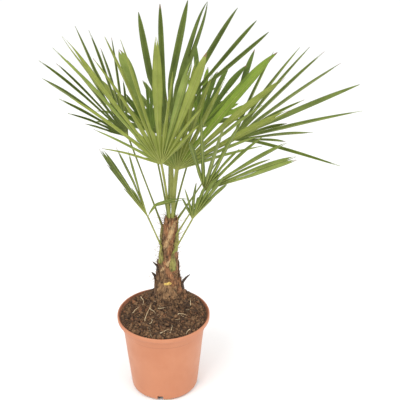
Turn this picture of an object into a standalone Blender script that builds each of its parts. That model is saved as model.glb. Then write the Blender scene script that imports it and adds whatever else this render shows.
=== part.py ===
"""Chinese windmill palm in a nursery pot.

Metres, +Z up. The origin is the centre of the pot's flat underside, and -Y is the front.
The pot holds soil, the trunk stands on the soil, and each frond is a petiole and a pleated fan.
"""

import math
import random

import bmesh
import bpy
from mathutils import Matrix, Vector
from mathutils.bvhtree import BVHTree

CLEAR = 0.0004  # gap kept between neighbouring pieces

# Pot, measured outside
POT_HEIGHT = 0.193
RIM_RADIUS = 0.105
RIM_INNER_RADIUS = 0.0965
LIP_DEPTH = 0.0105
COLLAR_RADIUS = 0.0951
COLLAR_DEPTH = 0.030
BODY_TOP_RADIUS = 0.0925
BODY_FOOT_RADIUS = 0.0762
FOOT_ROUNDING = 0.011
WALL = 0.0026
FLOOR_TOP = 0.006
PAD_RADIUS = 0.050
GROOVE_RADIUS = 0.062
GROOVE_DEPTH = 0.0035
NOTCH_WIDTH = 0.012
NOTCH_HEIGHT = 0.0055
NOTCH_BEARING = 264
NOTCHES = 4
POT_EDGE = 0.001  # chamfer on the pot's small steps
FLOOR_FILLET = 0.0045
POT_STEPS = 36

# Soil, mounded up to the trunk
SOIL_LEVEL = POT_HEIGHT - 0.011
MOUND_LEVEL = POT_HEIGHT + 0.006
MOUND_FLAT = 0.040
MOUND_SLOPE = 0.034
SOIL_CLODS = 0.0016
SOIL_CLEAR = 0.0008  # gap between the soil and the facets of the pot's wall
SOIL_STEPS = 28

# Trunk, from the soil to the place where the crown's petioles leave it
TRUNK_FOOT = Vector((0.012, 0.050, MOUND_LEVEL + CLEAR))
TRUNK_HEAD = Vector((0.019, 0.045, POT_HEIGHT + 0.225))
FOOT_RADIUS = 0.0375
HEAD_RADIUS = 0.0125
ROOT_FLARE = 0.0035
TAPER_POWER = 1.6
TRUNK_SIDES = 18
TRUNK_RINGS = 12
TRUNK_SWAY = 0.004
SHEATH_RIDGES = 3
RIDGE_DEPTH = 0.05

# Dead stubs of old leaves: bearing, height over the foot, length and thickness. Each hugs the trunk
# for a share of its length and then curls out by another share
STUB_HUG = 0.3
STUB_OUT = 0.45
OLD_LEAVES = (
    {"name": "old_leaf_left_high", "bearing": 200, "height": 0.082, "length": 0.024, "radius": 0.0022},
    {"name": "old_leaf_left_low", "bearing": 190, "height": 0.058, "length": 0.017, "radius": 0.0026},
    {"name": "old_leaf_right", "bearing": 340, "height": 0.034, "length": 0.042, "radius": 0.0026},
)

# Fans and petioles
PLEAT_ANGLE = math.radians(20)
LEAFLET_SHARES = ((0.55, 1.0), (0.82, 0.7), (1.0, 0.0))  # shares of length and of full width
FREE_FROM = 0.3  # the share of its length at which a leaflet's free part is counted from
GAP_SHARE = 0.2
TIP_HALF_WIDTH = 0.0009
SAG_STRENGTH = 3
BLADE_THICKNESS_SHARE = 0.0105
HEAD_SEAT_RADIUS = 0.0078
HEAD_SEAT_RISE = 0.010
PETIOLE_POINTS = 7
PETIOLE_BOW = 0.12
SHEATH_LENGTH = 0.040
SHEATH_SWELL = 1.35
STALK_TAPER = 0.72
TAPER_SPEED = 1.6

# Each frond: the hub's distance and bearing from the trunk's head and its height over it; the seat
# of its petiole, a bearing on the head or a drop down the trunk's side; the bearing that the fan
# leans to and its lean from upright; the first and last rib, in degrees across the fan; ribs; the
# longest leaflet and the share of it that is joined; how much the outer leaflets are shorter, how
# steeply they fall off, and the longest one's place from -1 to 1; the degrees that its two halves
# fold together; how far its tips droop; how far its outer tips spread beyond their ribs, in degrees;
# the petiole's radius; a leaflet's widest half; and the leaflets that don't follow this rule, by
# number, each as a turn, a share of the reach and its own widest half if that differs
FRONDS = (
    {"name": "front_left", "out": 0.048, "around": 250, "up": 0.147, "seat": 240, "drop": 0,
     "lean_to": 255, "lean": 15, "spread": (-78, 42), "ribs": 14, "reach": 0.345, "joined": 0.31,
     "short": 0.7, "fall": 4.5, "peak": 0.2, "fold": 0, "sag": 0.03, "flare": 0, "stalk": 0.0036,
     "widest": 0.0085,
     "own": {0: (-75, 0.38), 1: (-59, 0.46), 2: (-47, 0.68), 3: (-34.5, 0.96),
             4: (-30, 0.99, 0.0095), 5: (-22, 0.8), 6: (-14.5, 0.91, 0.0062),
             7: (-10, 0.88, 0.0062), 8: (2, 0.91, 0.0105), 9: (10, 0.7), 10: (17, 0.81, 0.0095),
             11: (23, 0.9, 0.0118), 12: (30, 0.55), 13: (38, 0.42)}},
    {"name": "front_right", "out": 0.03, "around": 300, "up": 0.125, "seat": 300, "drop": 0,
     "lean_to": 270, "lean": 10, "spread": (-8, 72), "ribs": 11, "reach": 0.33, "joined": 0.31,
     "short": 0.5, "fall": 4.5, "peak": -0.1, "fold": 0, "sag": 0.03, "flare": 0, "stalk": 0.0037,
     "widest": 0.0085,
     "own": {0: (-5, 0.5), 1: (3, 0.62), 2: (11, 0.8, 0.0095), 3: (18, 0.66), 4: (25, 0.6),
             5: (33, 1.0, 0.0115), 6: (41, 0.95, 0.0105), 7: (47, 0.62), 8: (55, 0.83, 0.0105),
             9: (62, 0.5), 10: (69, 0.57)}},
    {"name": "upright_back", "out": 0.03, "around": 90, "up": 0.18, "seat": 60, "drop": 0,
     "lean_to": 80, "lean": 15, "spread": (-44, 22), "ribs": 7, "reach": 0.305, "joined": 0.31,
     "short": 0.18, "fall": 4.5, "peak": -0.75, "fold": 0, "sag": 0.0, "flare": 10,
     "stalk": 0.0037, "widest": 0.0095,
     "own": {0: (-39, 0.99), 1: (-33, 1.0), 2: (-25, 0.99), 3: (-12, 0.96, 0.0105), 4: (-3, 0.92),
             5: (7.5, 0.88), 6: (17, 0.84)}},
    {"name": "left", "out": 0.09, "around": 170, "up": 0.183, "seat": 170, "drop": 0.03,
     "lean_to": 140, "lean": 35, "spread": (-30, 60), "ribs": 13, "reach": 0.262, "joined": 0.22,
     "short": 0.75, "fall": 3, "peak": -0.2, "fold": 0, "sag": 0.02, "flare": 0, "stalk": 0.0028,
     "widest": 0.006,
     "own": {4: (1, 1.0), 6: (15, 0.72), 7: (22, 0.8), 8: (27, 0.96)}},
    {"name": "low_left", "out": 0.06, "around": 215, "up": 0.018, "seat": 215, "drop": 0.073,
     "lean_to": 262, "lean": 20, "spread": (-35, -7), "ribs": 7, "reach": 0.2, "joined": 0.26,
     "short": 0.4, "fall": 4.5, "peak": -0.1, "fold": 25, "sag": 0.02, "flare": 0,
     "stalk": 0.0026, "widest": 0.005,
     "own": {0: (-32, 0.6), 1: (-28, 0.82), 2: (-23, 1.0), 3: (-20, 0.99), 4: (-16.5, 0.7),
             5: (-12, 1.0), 6: (-8, 0.9)}},
    {"name": "low_right", "out": 0.105, "around": 314, "up": 0.101, "seat": 335, "drop": 0.043,
     "lean_to": 270, "lean": 20, "spread": (-15, 68), "ribs": 10, "reach": 0.225, "joined": 0.31,
     "short": 0.3, "fall": 4.5, "peak": 0.2, "fold": 0, "sag": 0.03, "flare": 0, "stalk": 0.0026,
     "widest": 0.0062,
     "own": {0: (-11, 0.66), 1: (-2.5, 0.94), 2: (11, 0.89), 3: (20, 0.91), 4: (27, 0.62),
             5: (34.5, 0.87), 6: (46.5, 0.95, 0.0075), 7: (52, 0.72), 8: (57.5, 0.93),
             9: (63.5, 0.92)}},
    {"name": "lowest_right", "out": 0.081, "around": 306, "up": 0.028, "seat": 300, "drop": 0.086,
     "lean_to": 275, "lean": 20, "spread": (-22, 42), "ribs": 7, "reach": 0.17, "joined": 0.26,
     "short": 0.65, "fall": 4.5, "peak": 0.6, "fold": 0, "sag": 0.03, "flare": 0, "stalk": 0.0024,
     "widest": 0.0052,
     "own": {0: (-18, 0.42), 1: (-8, 0.58), 2: (1, 0.67), 3: (24, 0.62), 4: (28, 0.74),
             5: (33, 0.8), 6: (38, 0.7)}},
    {"name": "right", "out": 0.141, "around": 19, "up": 0.163, "seat": 15, "drop": 0.01,
     "lean_to": 20, "lean": 60, "spread": (-74, 50), "ribs": 12, "reach": 0.325, "joined": 0.16,
     "short": 0.0, "fall": 4.5, "peak": 0.0, "fold": 0, "sag": 0.02, "flare": 0, "stalk": 0.0028,
     "widest": 0.0062,
     "own": {0: (-68, 0.97, 0.0075), 1: (-58, 0.45), 2: (-49, 0.62), 3: (-40, 0.92),
             4: (-31, 0.4), 5: (-20.5, 0.91, 0.0095), 6: (-8, 0.55), 7: (2, 0.91), 8: (17, 0.96),
             9: (28, 1.0), 10: (34.5, 1.0), 11: (45, 1.0)}},
    {"name": "back_right", "out": 0.106, "around": 53, "up": 0.175, "seat": 0, "drop": 0,
     "lean_to": 55, "lean": 45, "spread": (-50, 40), "ribs": 10, "reach": 0.24, "joined": 0.34,
     "short": 0.3, "fall": 4.5, "peak": 0.0, "fold": 0, "sag": 0.06, "flare": 0, "stalk": 0.0033,
     "widest": 0.009,
     "own": {}},
    {"name": "back_left", "out": 0.088, "around": 120, "up": 0.165, "seat": 180, "drop": 0,
     "lean_to": 125, "lean": 45, "spread": (-45, 40), "ribs": 9, "reach": 0.22, "joined": 0.34,
     "short": 0.3, "fall": 4.5, "peak": 0.0, "fold": 0, "sag": 0.06, "flare": 0, "stalk": 0.0033,
     "widest": 0.009,
     "own": {}},
    {"name": "back", "out": 0.14, "around": 92, "up": 0.13, "seat": 120, "drop": 0, "lean_to": 92,
     "lean": 70, "spread": (-70, 70), "ribs": 14, "reach": 0.25, "joined": 0.36, "short": 0.3,
     "fall": 4.5, "peak": 0.0, "fold": 0, "sag": 0.1, "flare": 0, "stalk": 0.0033,
     "widest": 0.008,
     "own": {}},
)
# What a leaflet tries when another piece is in its way: degrees of lift, then shares of its length
LIFTS = (0, 4, -4, 8, -8, 13, -13)
SHORTER = (1.0, 0.8, 0.62, 0.48)

# Colours (red, green, blue) and roughness
FINISHES = {
    "terracotta_plastic": ((0.74, 0.31, 0.17), 0.45),
    "potting_mix": ((0.09, 0.05, 0.03), 0.95),
    "trunk_fibre": ((0.22, 0.10, 0.05), 0.9),
    "dead_leaf_base": ((0.04, 0.03, 0.02), 0.85),
    "petiole_green": ((0.22, 0.32, 0.07), 0.5),
    "leaf_green": ((0.18, 0.30, 0.06), 0.5),
}


def clear_scene():
    for old in list(bpy.data.objects):
        bpy.data.objects.remove(old, do_unlink=True)


def new_collection(name):
    made = bpy.data.collections.new(name)
    bpy.context.scene.collection.children.link(made)
    return made


def new_material(name):
    colour, roughness = FINISHES[name]
    material = bpy.data.materials.new(name)
    material.use_nodes = True
    shader = material.node_tree.nodes["Principled BSDF"]
    shader.inputs["Base Color"].default_value = (*colour, 1)
    shader.inputs["Roughness"].default_value = roughness
    return material


def new_object(name, mesh, collection, material=None):
    made = bpy.data.objects.new(name, mesh)
    collection.objects.link(made)
    if material:
        mesh.materials.append(material)
    return made


def mesh_of(bm, name):
    mesh = bpy.data.meshes.new(name)
    bm.to_mesh(mesh)
    bm.free()
    return mesh


def shade(made, angle=40):
    made.data.shade_smooth()
    made.data.set_sharp_from_angle(angle=math.radians(angle))


def bearing(degrees, distance=1.0):
    """The level vector of this length towards a bearing: 0 is +X and 90 is the back, +Y."""
    turn = math.radians(degrees)
    return Vector((distance * math.cos(turn), distance * math.sin(turn), 0))


def profile_mesh(name, points):
    """An edge chain of (radius, height) points in the XZ plane."""
    bm = bmesh.new()
    chain = [bm.verts.new((radius, 0, height)) for radius, height in points]
    for above, below in zip(chain, chain[1:]):
        bm.edges.new((above, below))
    return mesh_of(bm, name)


def body_radius(height):
    """The pot's outer radius between its foot and its collar."""
    share = height / (POT_HEIGHT - COLLAR_DEPTH)
    return BODY_FOOT_RADIUS + (BODY_TOP_RADIUS - BODY_FOOT_RADIUS) * share


def pot_profile():
    lip_radius = (RIM_RADIUS - RIM_INNER_RADIUS) / 2
    lip_middle = RIM_RADIUS - lip_radius
    points = [
        (0, FLOOR_TOP),
        (body_radius(FLOOR_TOP) - WALL - FLOOR_FILLET, FLOOR_TOP),
        (body_radius(FLOOR_TOP) - WALL, FLOOR_TOP + FLOOR_FILLET),
        (BODY_TOP_RADIUS - WALL, POT_HEIGHT - COLLAR_DEPTH),
        (COLLAR_RADIUS - WALL, POT_HEIGHT - LIP_DEPTH),
    ]
    for degrees in (180, 135, 90, 45, 0):
        turn = math.radians(degrees)
        points.append((lip_middle + lip_radius * math.cos(turn),
                       POT_HEIGHT - lip_radius + lip_radius * math.sin(turn)))
    points += [
        (RIM_RADIUS - POT_EDGE, POT_HEIGHT - LIP_DEPTH + 2 * POT_EDGE),
        (COLLAR_RADIUS + 2 * POT_EDGE, POT_HEIGHT - LIP_DEPTH - POT_EDGE),
        (COLLAR_RADIUS, POT_HEIGHT - COLLAR_DEPTH + POT_EDGE),
        (BODY_TOP_RADIUS, POT_HEIGHT - COLLAR_DEPTH - POT_EDGE),
    ]
    corner = body_radius(FOOT_ROUNDING) - FOOT_ROUNDING
    for degrees in (0, -30, -60, -90):
        turn = math.radians(degrees)
        points.append((corner + FOOT_ROUNDING * math.cos(turn),
                       FOOT_ROUNDING + FOOT_ROUNDING * math.sin(turn)))
    points += [
        (GROOVE_RADIUS, 0),
        (GROOVE_RADIUS - POT_EDGE, GROOVE_DEPTH),
        (PAD_RADIUS + POT_EDGE, GROOVE_DEPTH),
        (PAD_RADIUS, 0),
        (0, 0),
    ]
    return points


def add_screw(made, steps):
    screw = made.modifiers.new("turned", "SCREW")
    screw.steps = steps
    screw.render_steps = steps
    screw.use_merge_vertices = True
    screw.merge_threshold = 0.00001


def notch_cutter(collection):
    """Boxes that cut the drain notches through the pot's foot ring."""
    bm = bmesh.new()
    inner, outer = (GROOVE_RADIUS + PAD_RADIUS) / 2, RIM_RADIUS
    for number in range(NOTCHES):
        turn = math.radians(NOTCH_BEARING + number * 360 / NOTCHES)
        box = bmesh.ops.create_cube(bm, size=1)["verts"]
        bmesh.ops.scale(bm, vec=(outer - inner, NOTCH_WIDTH, 2 * NOTCH_HEIGHT), verts=box)
        bmesh.ops.translate(bm, vec=((outer + inner) / 2, 0, 0), verts=box)
        bmesh.ops.rotate(bm, cent=(0, 0, 0), matrix=Matrix.Rotation(turn, 3, "Z"), verts=box)
    cutter = new_object("notch_cutter", mesh_of(bm, "notch_cutter"), collection)
    cutter.hide_render = True
    cutter.display_type = "WIRE"
    return cutter


def make_pot(parts, cutters, material):
    pot = new_object("pot", profile_mesh("pot", pot_profile()), parts, material)
    add_screw(pot, POT_STEPS)
    cut = pot.modifiers.new("drain notches", "BOOLEAN")
    cut.operation = "DIFFERENCE"
    cut.object = notch_cutter(cutters)
    return pot


def soil_height(x, y):
    """The soil's surface: level by the wall, with a flat-topped mound at the trunk's foot."""
    from_trunk = math.hypot(x - TRUNK_FOOT.x, y - TRUNK_FOOT.y)
    rise = math.exp(-(max(0.0, from_trunk - MOUND_FLAT) / MOUND_SLOPE) ** 2)
    clods = SOIL_CLODS * math.sin(170 * x + 1) * math.sin(210 * y + 40 * x) * (1 - rise)
    return SOIL_LEVEL + (MOUND_LEVEL - SOIL_LEVEL) * rise + clods


def make_soil(parts, material):
    top_radius = COLLAR_RADIUS - WALL - SOIL_CLEAR
    foot_radius = body_radius(FLOOR_TOP) - WALL
    rings = [top_radius * share for share in (0, 0.2, 0.4, 0.58, 0.74, 0.88, 1)]
    points = [(radius, SOIL_LEVEL) for radius in rings]
    points += [
        (BODY_TOP_RADIUS - WALL - SOIL_CLEAR, POT_HEIGHT - COLLAR_DEPTH),
        (foot_radius - SOIL_CLEAR, FLOOR_TOP + FLOOR_FILLET + CLEAR),
        (foot_radius - FLOOR_FILLET - CLEAR, FLOOR_TOP + CLEAR),
        (0, FLOOR_TOP + CLEAR),
    ]
    bm = bmesh.new()
    chain = [bm.verts.new((radius, 0, height)) for radius, height in points]
    edges = [bm.edges.new(pair) for pair in zip(chain, chain[1:])]
    bmesh.ops.spin(bm, geom=chain + edges, cent=(0, 0, 0), axis=(0, 0, 1), dvec=(0, 0, 0),
                   angle=math.tau, steps=SOIL_STEPS, use_merge=True)
    bmesh.ops.remove_doubles(bm, verts=bm.verts, dist=0.00001)
    bmesh.ops.recalc_face_normals(bm, faces=bm.faces)
    for vertex in bm.verts:
        if abs(vertex.co.z - SOIL_LEVEL) < 0.0001:
            vertex.co.z = soil_height(vertex.co.x, vertex.co.y)
    soil = new_object("soil", mesh_of(bm, "soil"), parts, material)
    shade(soil)
    return soil


def trunk_axis(height):
    """The trunk's middle at a height over its foot."""
    share = height / (TRUNK_HEAD.z - TRUNK_FOOT.z)
    sway = TRUNK_SWAY * math.sin(math.pi * share)
    return TRUNK_FOOT.lerp(TRUNK_HEAD, share) - Vector((sway, 0, 0))


def trunk_radius(height):
    share = min(1.0, max(0.0, height / (TRUNK_HEAD.z - TRUNK_FOOT.z)))
    taper = (FOOT_RADIUS - HEAD_RADIUS) * (1 - share) ** TAPER_POWER
    return HEAD_RADIUS + taper + ROOT_FLARE * math.exp(-share * 12)


def make_trunk(parts, material):
    """A tapering trunk with a root flare, ridged by the sheaths that spiral round it."""
    tall = TRUNK_HEAD.z - TRUNK_FOOT.z
    bm = bmesh.new()
    bmesh.ops.create_cone(bm, cap_ends=True, segments=TRUNK_SIDES, radius1=1, radius2=1, depth=1)
    uprights = [edge for edge in bm.edges if abs(edge.verts[0].co.z - edge.verts[1].co.z) > 0.5]
    bmesh.ops.subdivide_edges(bm, edges=uprights, cuts=TRUNK_RINGS - 1)
    for vertex in bm.verts:
        height = (vertex.co.z + 0.5) * tall
        around = math.atan2(vertex.co.y, vertex.co.x)
        ridge = 1 + RIDGE_DEPTH * math.cos(SHEATH_RIDGES * around + 40 * height)
        spoke = Vector((math.cos(around), math.sin(around), 0)) * trunk_radius(height) * ridge
        vertex.co = trunk_axis(height) + spoke
    trunk = new_object("trunk", mesh_of(bm, "trunk"), parts, material)
    shade(trunk)
    return trunk


def tube(name, points, radii, parts, material):
    """A tapering round limb along these points, as a closed mesh."""
    line = bpy.data.curves.new(name, "CURVE")
    line.dimensions = "3D"
    line.bevel_depth = 1
    line.bevel_resolution = 1
    line.use_fill_caps = True
    spline = line.splines.new("POLY")
    spline.points.add(len(points) - 1)
    for place, point, radius in zip(spline.points, points, radii):
        place.co = (*point, 1)
        place.radius = radius
    curve = new_object(name + "_line", line, parts)
    graph = bpy.context.evaluated_depsgraph_get()
    mesh = bpy.data.meshes.new_from_object(curve.evaluated_get(graph))
    bm = bmesh.new()
    bm.from_mesh(mesh)
    bmesh.ops.remove_doubles(bm, verts=bm.verts, dist=0.00001)
    bmesh.ops.recalc_face_normals(bm, faces=bm.faces)
    bm.to_mesh(mesh)
    bm.free()
    mesh.name = name
    limb = new_object(name, mesh, parts, material)
    limb.matrix_world = curve.matrix_world
    bpy.data.objects.remove(curve, do_unlink=True)
    shade(limb)
    return limb


def hugging_points(heights, degrees, radius, bark):
    """Points up the trunk's side for a limb of this radius, brought to CLEAR from the bark."""
    out = bearing(degrees)
    points = [trunk_axis(height) + out * (trunk_radius(height) + radius) for height in heights]
    for _ in range(4):
        near = [bark.find_nearest(one.lerp(two, share))[3]
                for one, two in zip(points, points[1:]) for share in (0, 0.25, 0.5, 0.75, 1)]
        shift = min(near) - radius - CLEAR
        points = [point - out * shift for point in points]
    return points


def make_old_leaf(stub, bark, parts, material):
    """A dead leaf's stub, which hugs the trunk's side and then curls out."""
    out, length, thick = bearing(stub["bearing"]), stub["length"], stub["radius"]
    heights = (stub["height"], stub["height"] + STUB_HUG * length)
    points, radii = hugging_points(heights, stub["bearing"], thick, bark), [thick, thick]
    for share in (0.3, 0.65, 1):
        rise = (1 - STUB_HUG) * length * share
        points.append(points[1] + out * (STUB_OUT * length * share ** 1.5) + Vector((0, 0, rise)))
        radii.append(thick * (1 - 0.7 * share))
    return tube(stub["name"], points, radii, parts, material)


def hub_of(frond):
    """Where the frond's petiole ends and its ribs start."""
    return TRUNK_HEAD + bearing(frond["around"], frond["out"]) + Vector((0, 0, frond["up"]))


def fan_axes(frond):
    """(middle, across, inner): the fan's middle direction, its width and its upper side."""
    lean = math.radians(frond["lean"])
    out = bearing(frond["lean_to"])
    upward = out * math.sin(lean) + Vector((0, 0, math.cos(lean)))
    level = Vector((-out.y, out.x, 0))
    inner = upward.cross(level)
    middle = math.radians(sum(frond["spread"]) / 2)
    return (upward * math.cos(middle) + level * math.sin(middle),
            level * math.cos(middle) - upward * math.sin(middle), inner)


def rib_directions(frond, turn):
    """A rib's direction, its width's direction and its upper side, at a turn from the middle."""
    middle, across, inner = fan_axes(frond)
    fold = math.radians(frond["fold"]) * (1 if turn >= 0 else -1)
    side = across * math.cos(fold) + inner * math.sin(fold)
    along = middle * math.cos(turn) + side * math.sin(turn)
    width = side * math.cos(turn) - middle * math.sin(turn)
    return along, width, along.cross(width)


def rib_turns(frond, chance):
    """The ribs' turns from the fan's middle, in radians, and the margins' turns between them."""
    first, last = frond["spread"]
    step = (last - first) / frond["ribs"]
    middle = (first + last) / 2
    ribs = []
    for number in range(frond["ribs"]):
        even = first + (number + 0.5 + chance.uniform(-0.14, 0.14)) * step
        ribs.append(frond["own"].get(number, (even,))[0] - middle)
    between = [(one + two) / 2 for one, two in zip(ribs, ribs[1:])]
    margins = [ribs[0] - step / 2, *between, ribs[-1] + step / 2]
    return [math.radians(turn) for turn in ribs], [math.radians(turn) for turn in margins]


def leaflet_length(frond, number, chance):
    place = (2 * (number + 0.5) / frond["ribs"] - 1 - frond["peak"]) / (1 + abs(frond["peak"]))
    even = (1 - frond["short"] * abs(place) ** frond["fall"]) * chance.uniform(0.94, 1.0)
    return frond["reach"] * frond["own"].get(number, (0, even))[1]


def widest_half(frond, number):
    own = frond["own"].get(number, ())
    return own[2] if len(own) == 3 else frond["widest"]


def margin_point(frond, turn, distance):
    """A point on the ridge between two leaflets, in the part where the fan is joined."""
    along, _, upper = rib_directions(frond, turn)
    lift = pleat_depth(frond, distance)
    return hub_of(frond) + along * distance + upper * lift


def pleat_depth(frond, distance):
    step = math.radians(frond["spread"][1] - frond["spread"][0]) / frond["ribs"]
    return distance * step / 4 * math.tan(PLEAT_ANGLE)


def leaflet_rows(frond, turn, margins, widest, length, lift):
    """Rows of (left, rib, right) points of one leaflet, from the hub to its tip."""
    along, _, upper = rib_directions(frond, turn)
    hub = hub_of(frond)
    joined = frond["reach"] * frond["joined"]
    depth = pleat_depth(frond, joined)
    rows = [(hub, hub, hub)]
    rows.append((margin_point(frond, margins[0], joined), hub + along * joined - upper * depth,
                 margin_point(frond, margins[1], joined)))
    place, travelled = hub + along * joined, joined
    raised = math.radians(lift)
    half_step = min(turn - margins[0], margins[1] - turn)
    for number, (share, fullness) in enumerate(LEAFLET_SHARES):
        distance = joined + (length - joined) * (share - FREE_FROM) / (1 - FREE_FROM)
        flare = math.radians(frond["flare"]) * turn * (number > 0)
        heading, side, top = rib_directions(frond, turn + flare)
        heading = heading * math.cos(raised) + top * math.sin(raised)
        heading += Vector((0, 0, -SAG_STRENGTH * frond["sag"] * share ** 2))
        heading.normalize()
        top = heading.cross(side).normalized()
        place = place + heading * (distance - travelled)
        travelled = distance
        half = min(distance * math.tan(half_step) * (1 - GAP_SHARE), widest) * fullness + TIP_HALF_WIDTH
        drop = half * math.tan(PLEAT_ANGLE) / 2
        rows.append((place - side * half + top * drop, place - top * drop, place + side * half + top * drop))
    return rows


def leaflet_space(rows, thickness):
    """The leaflet's closed outer shape beyond the joined part, to test what it would touch."""
    corners, faces = [], []
    for row, after in zip(rows[1:], rows[2:] + rows[-1:]):
        ahead = (after[1] - row[1]) if after is not row else (rows[-1][1] - rows[-2][1])
        top = ahead.cross(row[2] - row[0]).normalized() * (thickness / 2 + CLEAR)
        corners += [row[0] - top, row[2] - top, row[2] + top, row[0] + top]
    for base in range(0, len(corners) - 4, 4):
        for side in range(4):
            turned = (side + 1) % 4
            faces.append((base + side, base + turned, base + 4 + turned, base + 4 + side))
    last = len(corners) - 4
    faces += [(0, 3, 2, 1), (last, last + 1, last + 2, last + 3)]
    return BVHTree.FromPolygons(corners, faces)


def clear_rows(frond, plan, length, thickness, taken):
    """The leaflet's rows, lifted or shortened until it touches nothing that is taken."""
    stub = frond["reach"] * frond["joined"] * 1.25
    for share in SHORTER:
        for lift in LIFTS:
            rows = leaflet_rows(frond, *plan, max(length * share, stub), lift)
            space = leaflet_space(rows, thickness)
            if not any(space.overlap(other) for other in taken):
                return rows
    return leaflet_rows(frond, *plan, stub, 0)


def add_leaflet(bm, rows):
    """A grid of two columns, moved onto the leaflet's rows."""
    cells = len(rows) - 1
    grid = bmesh.ops.create_grid(bm, x_segments=2, y_segments=cells, size=1)["verts"]
    for vertex in grid:
        column, row = round(vertex.co.x + 1), round((vertex.co.y + 1) / 2 * cells)
        vertex.co = rows[row][column]


def make_blade(frond, taken, parts, material):
    """One pleated fan, cut to its ribs between the leaflets, as a thin closed solid."""
    chance = random.Random(frond["name"])
    thickness = frond["reach"] * BLADE_THICKNESS_SHARE
    turns, margins = rib_turns(frond, chance)
    bm = bmesh.new()
    for number, turn in enumerate(turns):
        plan = (turn, (margins[number], margins[number + 1]), widest_half(frond, number))
        length = leaflet_length(frond, number, chance)
        add_leaflet(bm, clear_rows(frond, plan, length, thickness, taken))
    bmesh.ops.remove_doubles(bm, verts=bm.verts, dist=0.00001)
    blade = new_object("blade_" + frond["name"], mesh_of(bm, frond["name"]), parts, material)
    thicken = blade.modifiers.new("thickness", "SOLIDIFY")
    thicken.thickness = thickness
    thicken.offset = 0
    shade(blade, 25)
    return blade


def petiole_seat(frond, bark):
    """Where the petiole starts and the points along the sheath that hugs the trunk."""
    if not frond["drop"]:
        seat = TRUNK_HEAD + bearing(frond["seat"], HEAD_SEAT_RADIUS)
        return [seat + Vector((0, 0, CLEAR)), seat + Vector((0, 0, HEAD_SEAT_RISE))]
    top = TRUNK_HEAD.z - TRUNK_FOOT.z - frond["drop"]
    heights = [top - SHEATH_LENGTH * share for share in (1, 0.75, 0.5, 0.25, 0)]
    return hugging_points(heights, frond["seat"], frond["stalk"] * SHEATH_SWELL, bark)


def stalk_gap(frond, arriving, radius):
    """How far before the hub a stalk of this radius ends, so that its end just misses the blade."""
    half_angle = math.radians(frond["spread"][1] - frond["spread"][0]) / 2
    edges = [rib_directions(frond, turn) for turn in (-half_angle, 0, half_angle)]
    behind = max(0.0, *(-along.dot(arriving) for along, _, _ in edges))
    tilt = max(abs(upper.dot(arriving)) for _, _, upper in edges)
    return CLEAR + tilt * frond["reach"] * BLADE_THICKNESS_SHARE / 2 + behind * radius


def make_petiole(frond, bark, parts, material):
    """A tapering stalk from the trunk to just short of the fan's hub."""
    seat = petiole_seat(frond, bark)
    hub, start = hub_of(frond), seat[-1]
    bow = 0.0 if frond["drop"] else PETIOLE_BOW * (hub - start).length
    bend = start.lerp(hub, 0.5) + Vector((0, 0, bow))
    arriving = (hub - bend).normalized()
    stop = hub - arriving * stalk_gap(frond, arriving, frond["stalk"] * STALK_TAPER)
    points = list(seat)
    for number in range(1, PETIOLE_POINTS):
        share = number / (PETIOLE_POINTS - 1)
        points.append(start * (1 - share) ** 2 + bend * 2 * share * (1 - share) + stop * share ** 2)
    widest = SHEATH_SWELL if frond["drop"] else 1.0
    radii = [frond["stalk"] * widest] * len(seat)
    for number in range(1, PETIOLE_POINTS):
        share = min(1.0, TAPER_SPEED * number / (PETIOLE_POINTS - 1))
        radii.append(frond["stalk"] * (widest + (STALK_TAPER - widest) * share))
    return tube("petiole_" + frond["name"], points, radii, parts, material)


def surface_of(made):
    """The piece's surface as the build sees it, to test other pieces against."""
    return BVHTree.FromObject(made, bpy.context.evaluated_depsgraph_get())


def main():
    clear_scene()
    parts = new_collection("chinese windmill palm")
    cutters = new_collection("cutters")
    finish = {name: new_material(name) for name in FINISHES}
    make_pot(parts, cutters, finish["terracotta_plastic"])
    make_soil(parts, finish["potting_mix"])
    limbs = [make_trunk(parts, finish["trunk_fibre"])]
    bark = surface_of(limbs[0])
    limbs += [make_old_leaf(stub, bark, parts, finish["dead_leaf_base"]) for stub in OLD_LEAVES]
    limbs += [make_petiole(frond, bark, parts, finish["petiole_green"]) for frond in FRONDS]
    taken = [surface_of(limb) for limb in limbs]
    for frond in FRONDS:
        blade = make_blade(frond, taken, parts, finish["leaf_green"])
        taken.append(surface_of(blade))


main()
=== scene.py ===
import math
import random

import bmesh
import bpy
import numpy as np
from mathutils import Matrix, Vector, noise


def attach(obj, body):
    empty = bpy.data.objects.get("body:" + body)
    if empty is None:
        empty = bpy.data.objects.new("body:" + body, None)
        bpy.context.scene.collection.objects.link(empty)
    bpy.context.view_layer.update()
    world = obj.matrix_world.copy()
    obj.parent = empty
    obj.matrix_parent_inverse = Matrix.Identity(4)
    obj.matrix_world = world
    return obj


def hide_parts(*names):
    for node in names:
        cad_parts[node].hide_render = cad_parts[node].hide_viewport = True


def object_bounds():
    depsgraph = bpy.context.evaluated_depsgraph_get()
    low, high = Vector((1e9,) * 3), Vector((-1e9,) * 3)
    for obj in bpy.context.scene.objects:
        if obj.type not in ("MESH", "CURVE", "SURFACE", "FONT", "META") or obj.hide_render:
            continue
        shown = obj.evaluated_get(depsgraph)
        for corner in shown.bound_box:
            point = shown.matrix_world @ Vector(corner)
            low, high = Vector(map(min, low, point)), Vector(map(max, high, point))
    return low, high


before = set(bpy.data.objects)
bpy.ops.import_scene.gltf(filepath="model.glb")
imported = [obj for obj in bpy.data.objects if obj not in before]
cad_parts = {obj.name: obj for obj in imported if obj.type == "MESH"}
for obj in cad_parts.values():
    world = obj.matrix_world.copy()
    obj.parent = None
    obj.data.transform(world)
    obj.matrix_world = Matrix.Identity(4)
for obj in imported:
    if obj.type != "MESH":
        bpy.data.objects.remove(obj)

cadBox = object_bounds()
print("palm: frame loaded,", len(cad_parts), "nodes")

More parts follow.
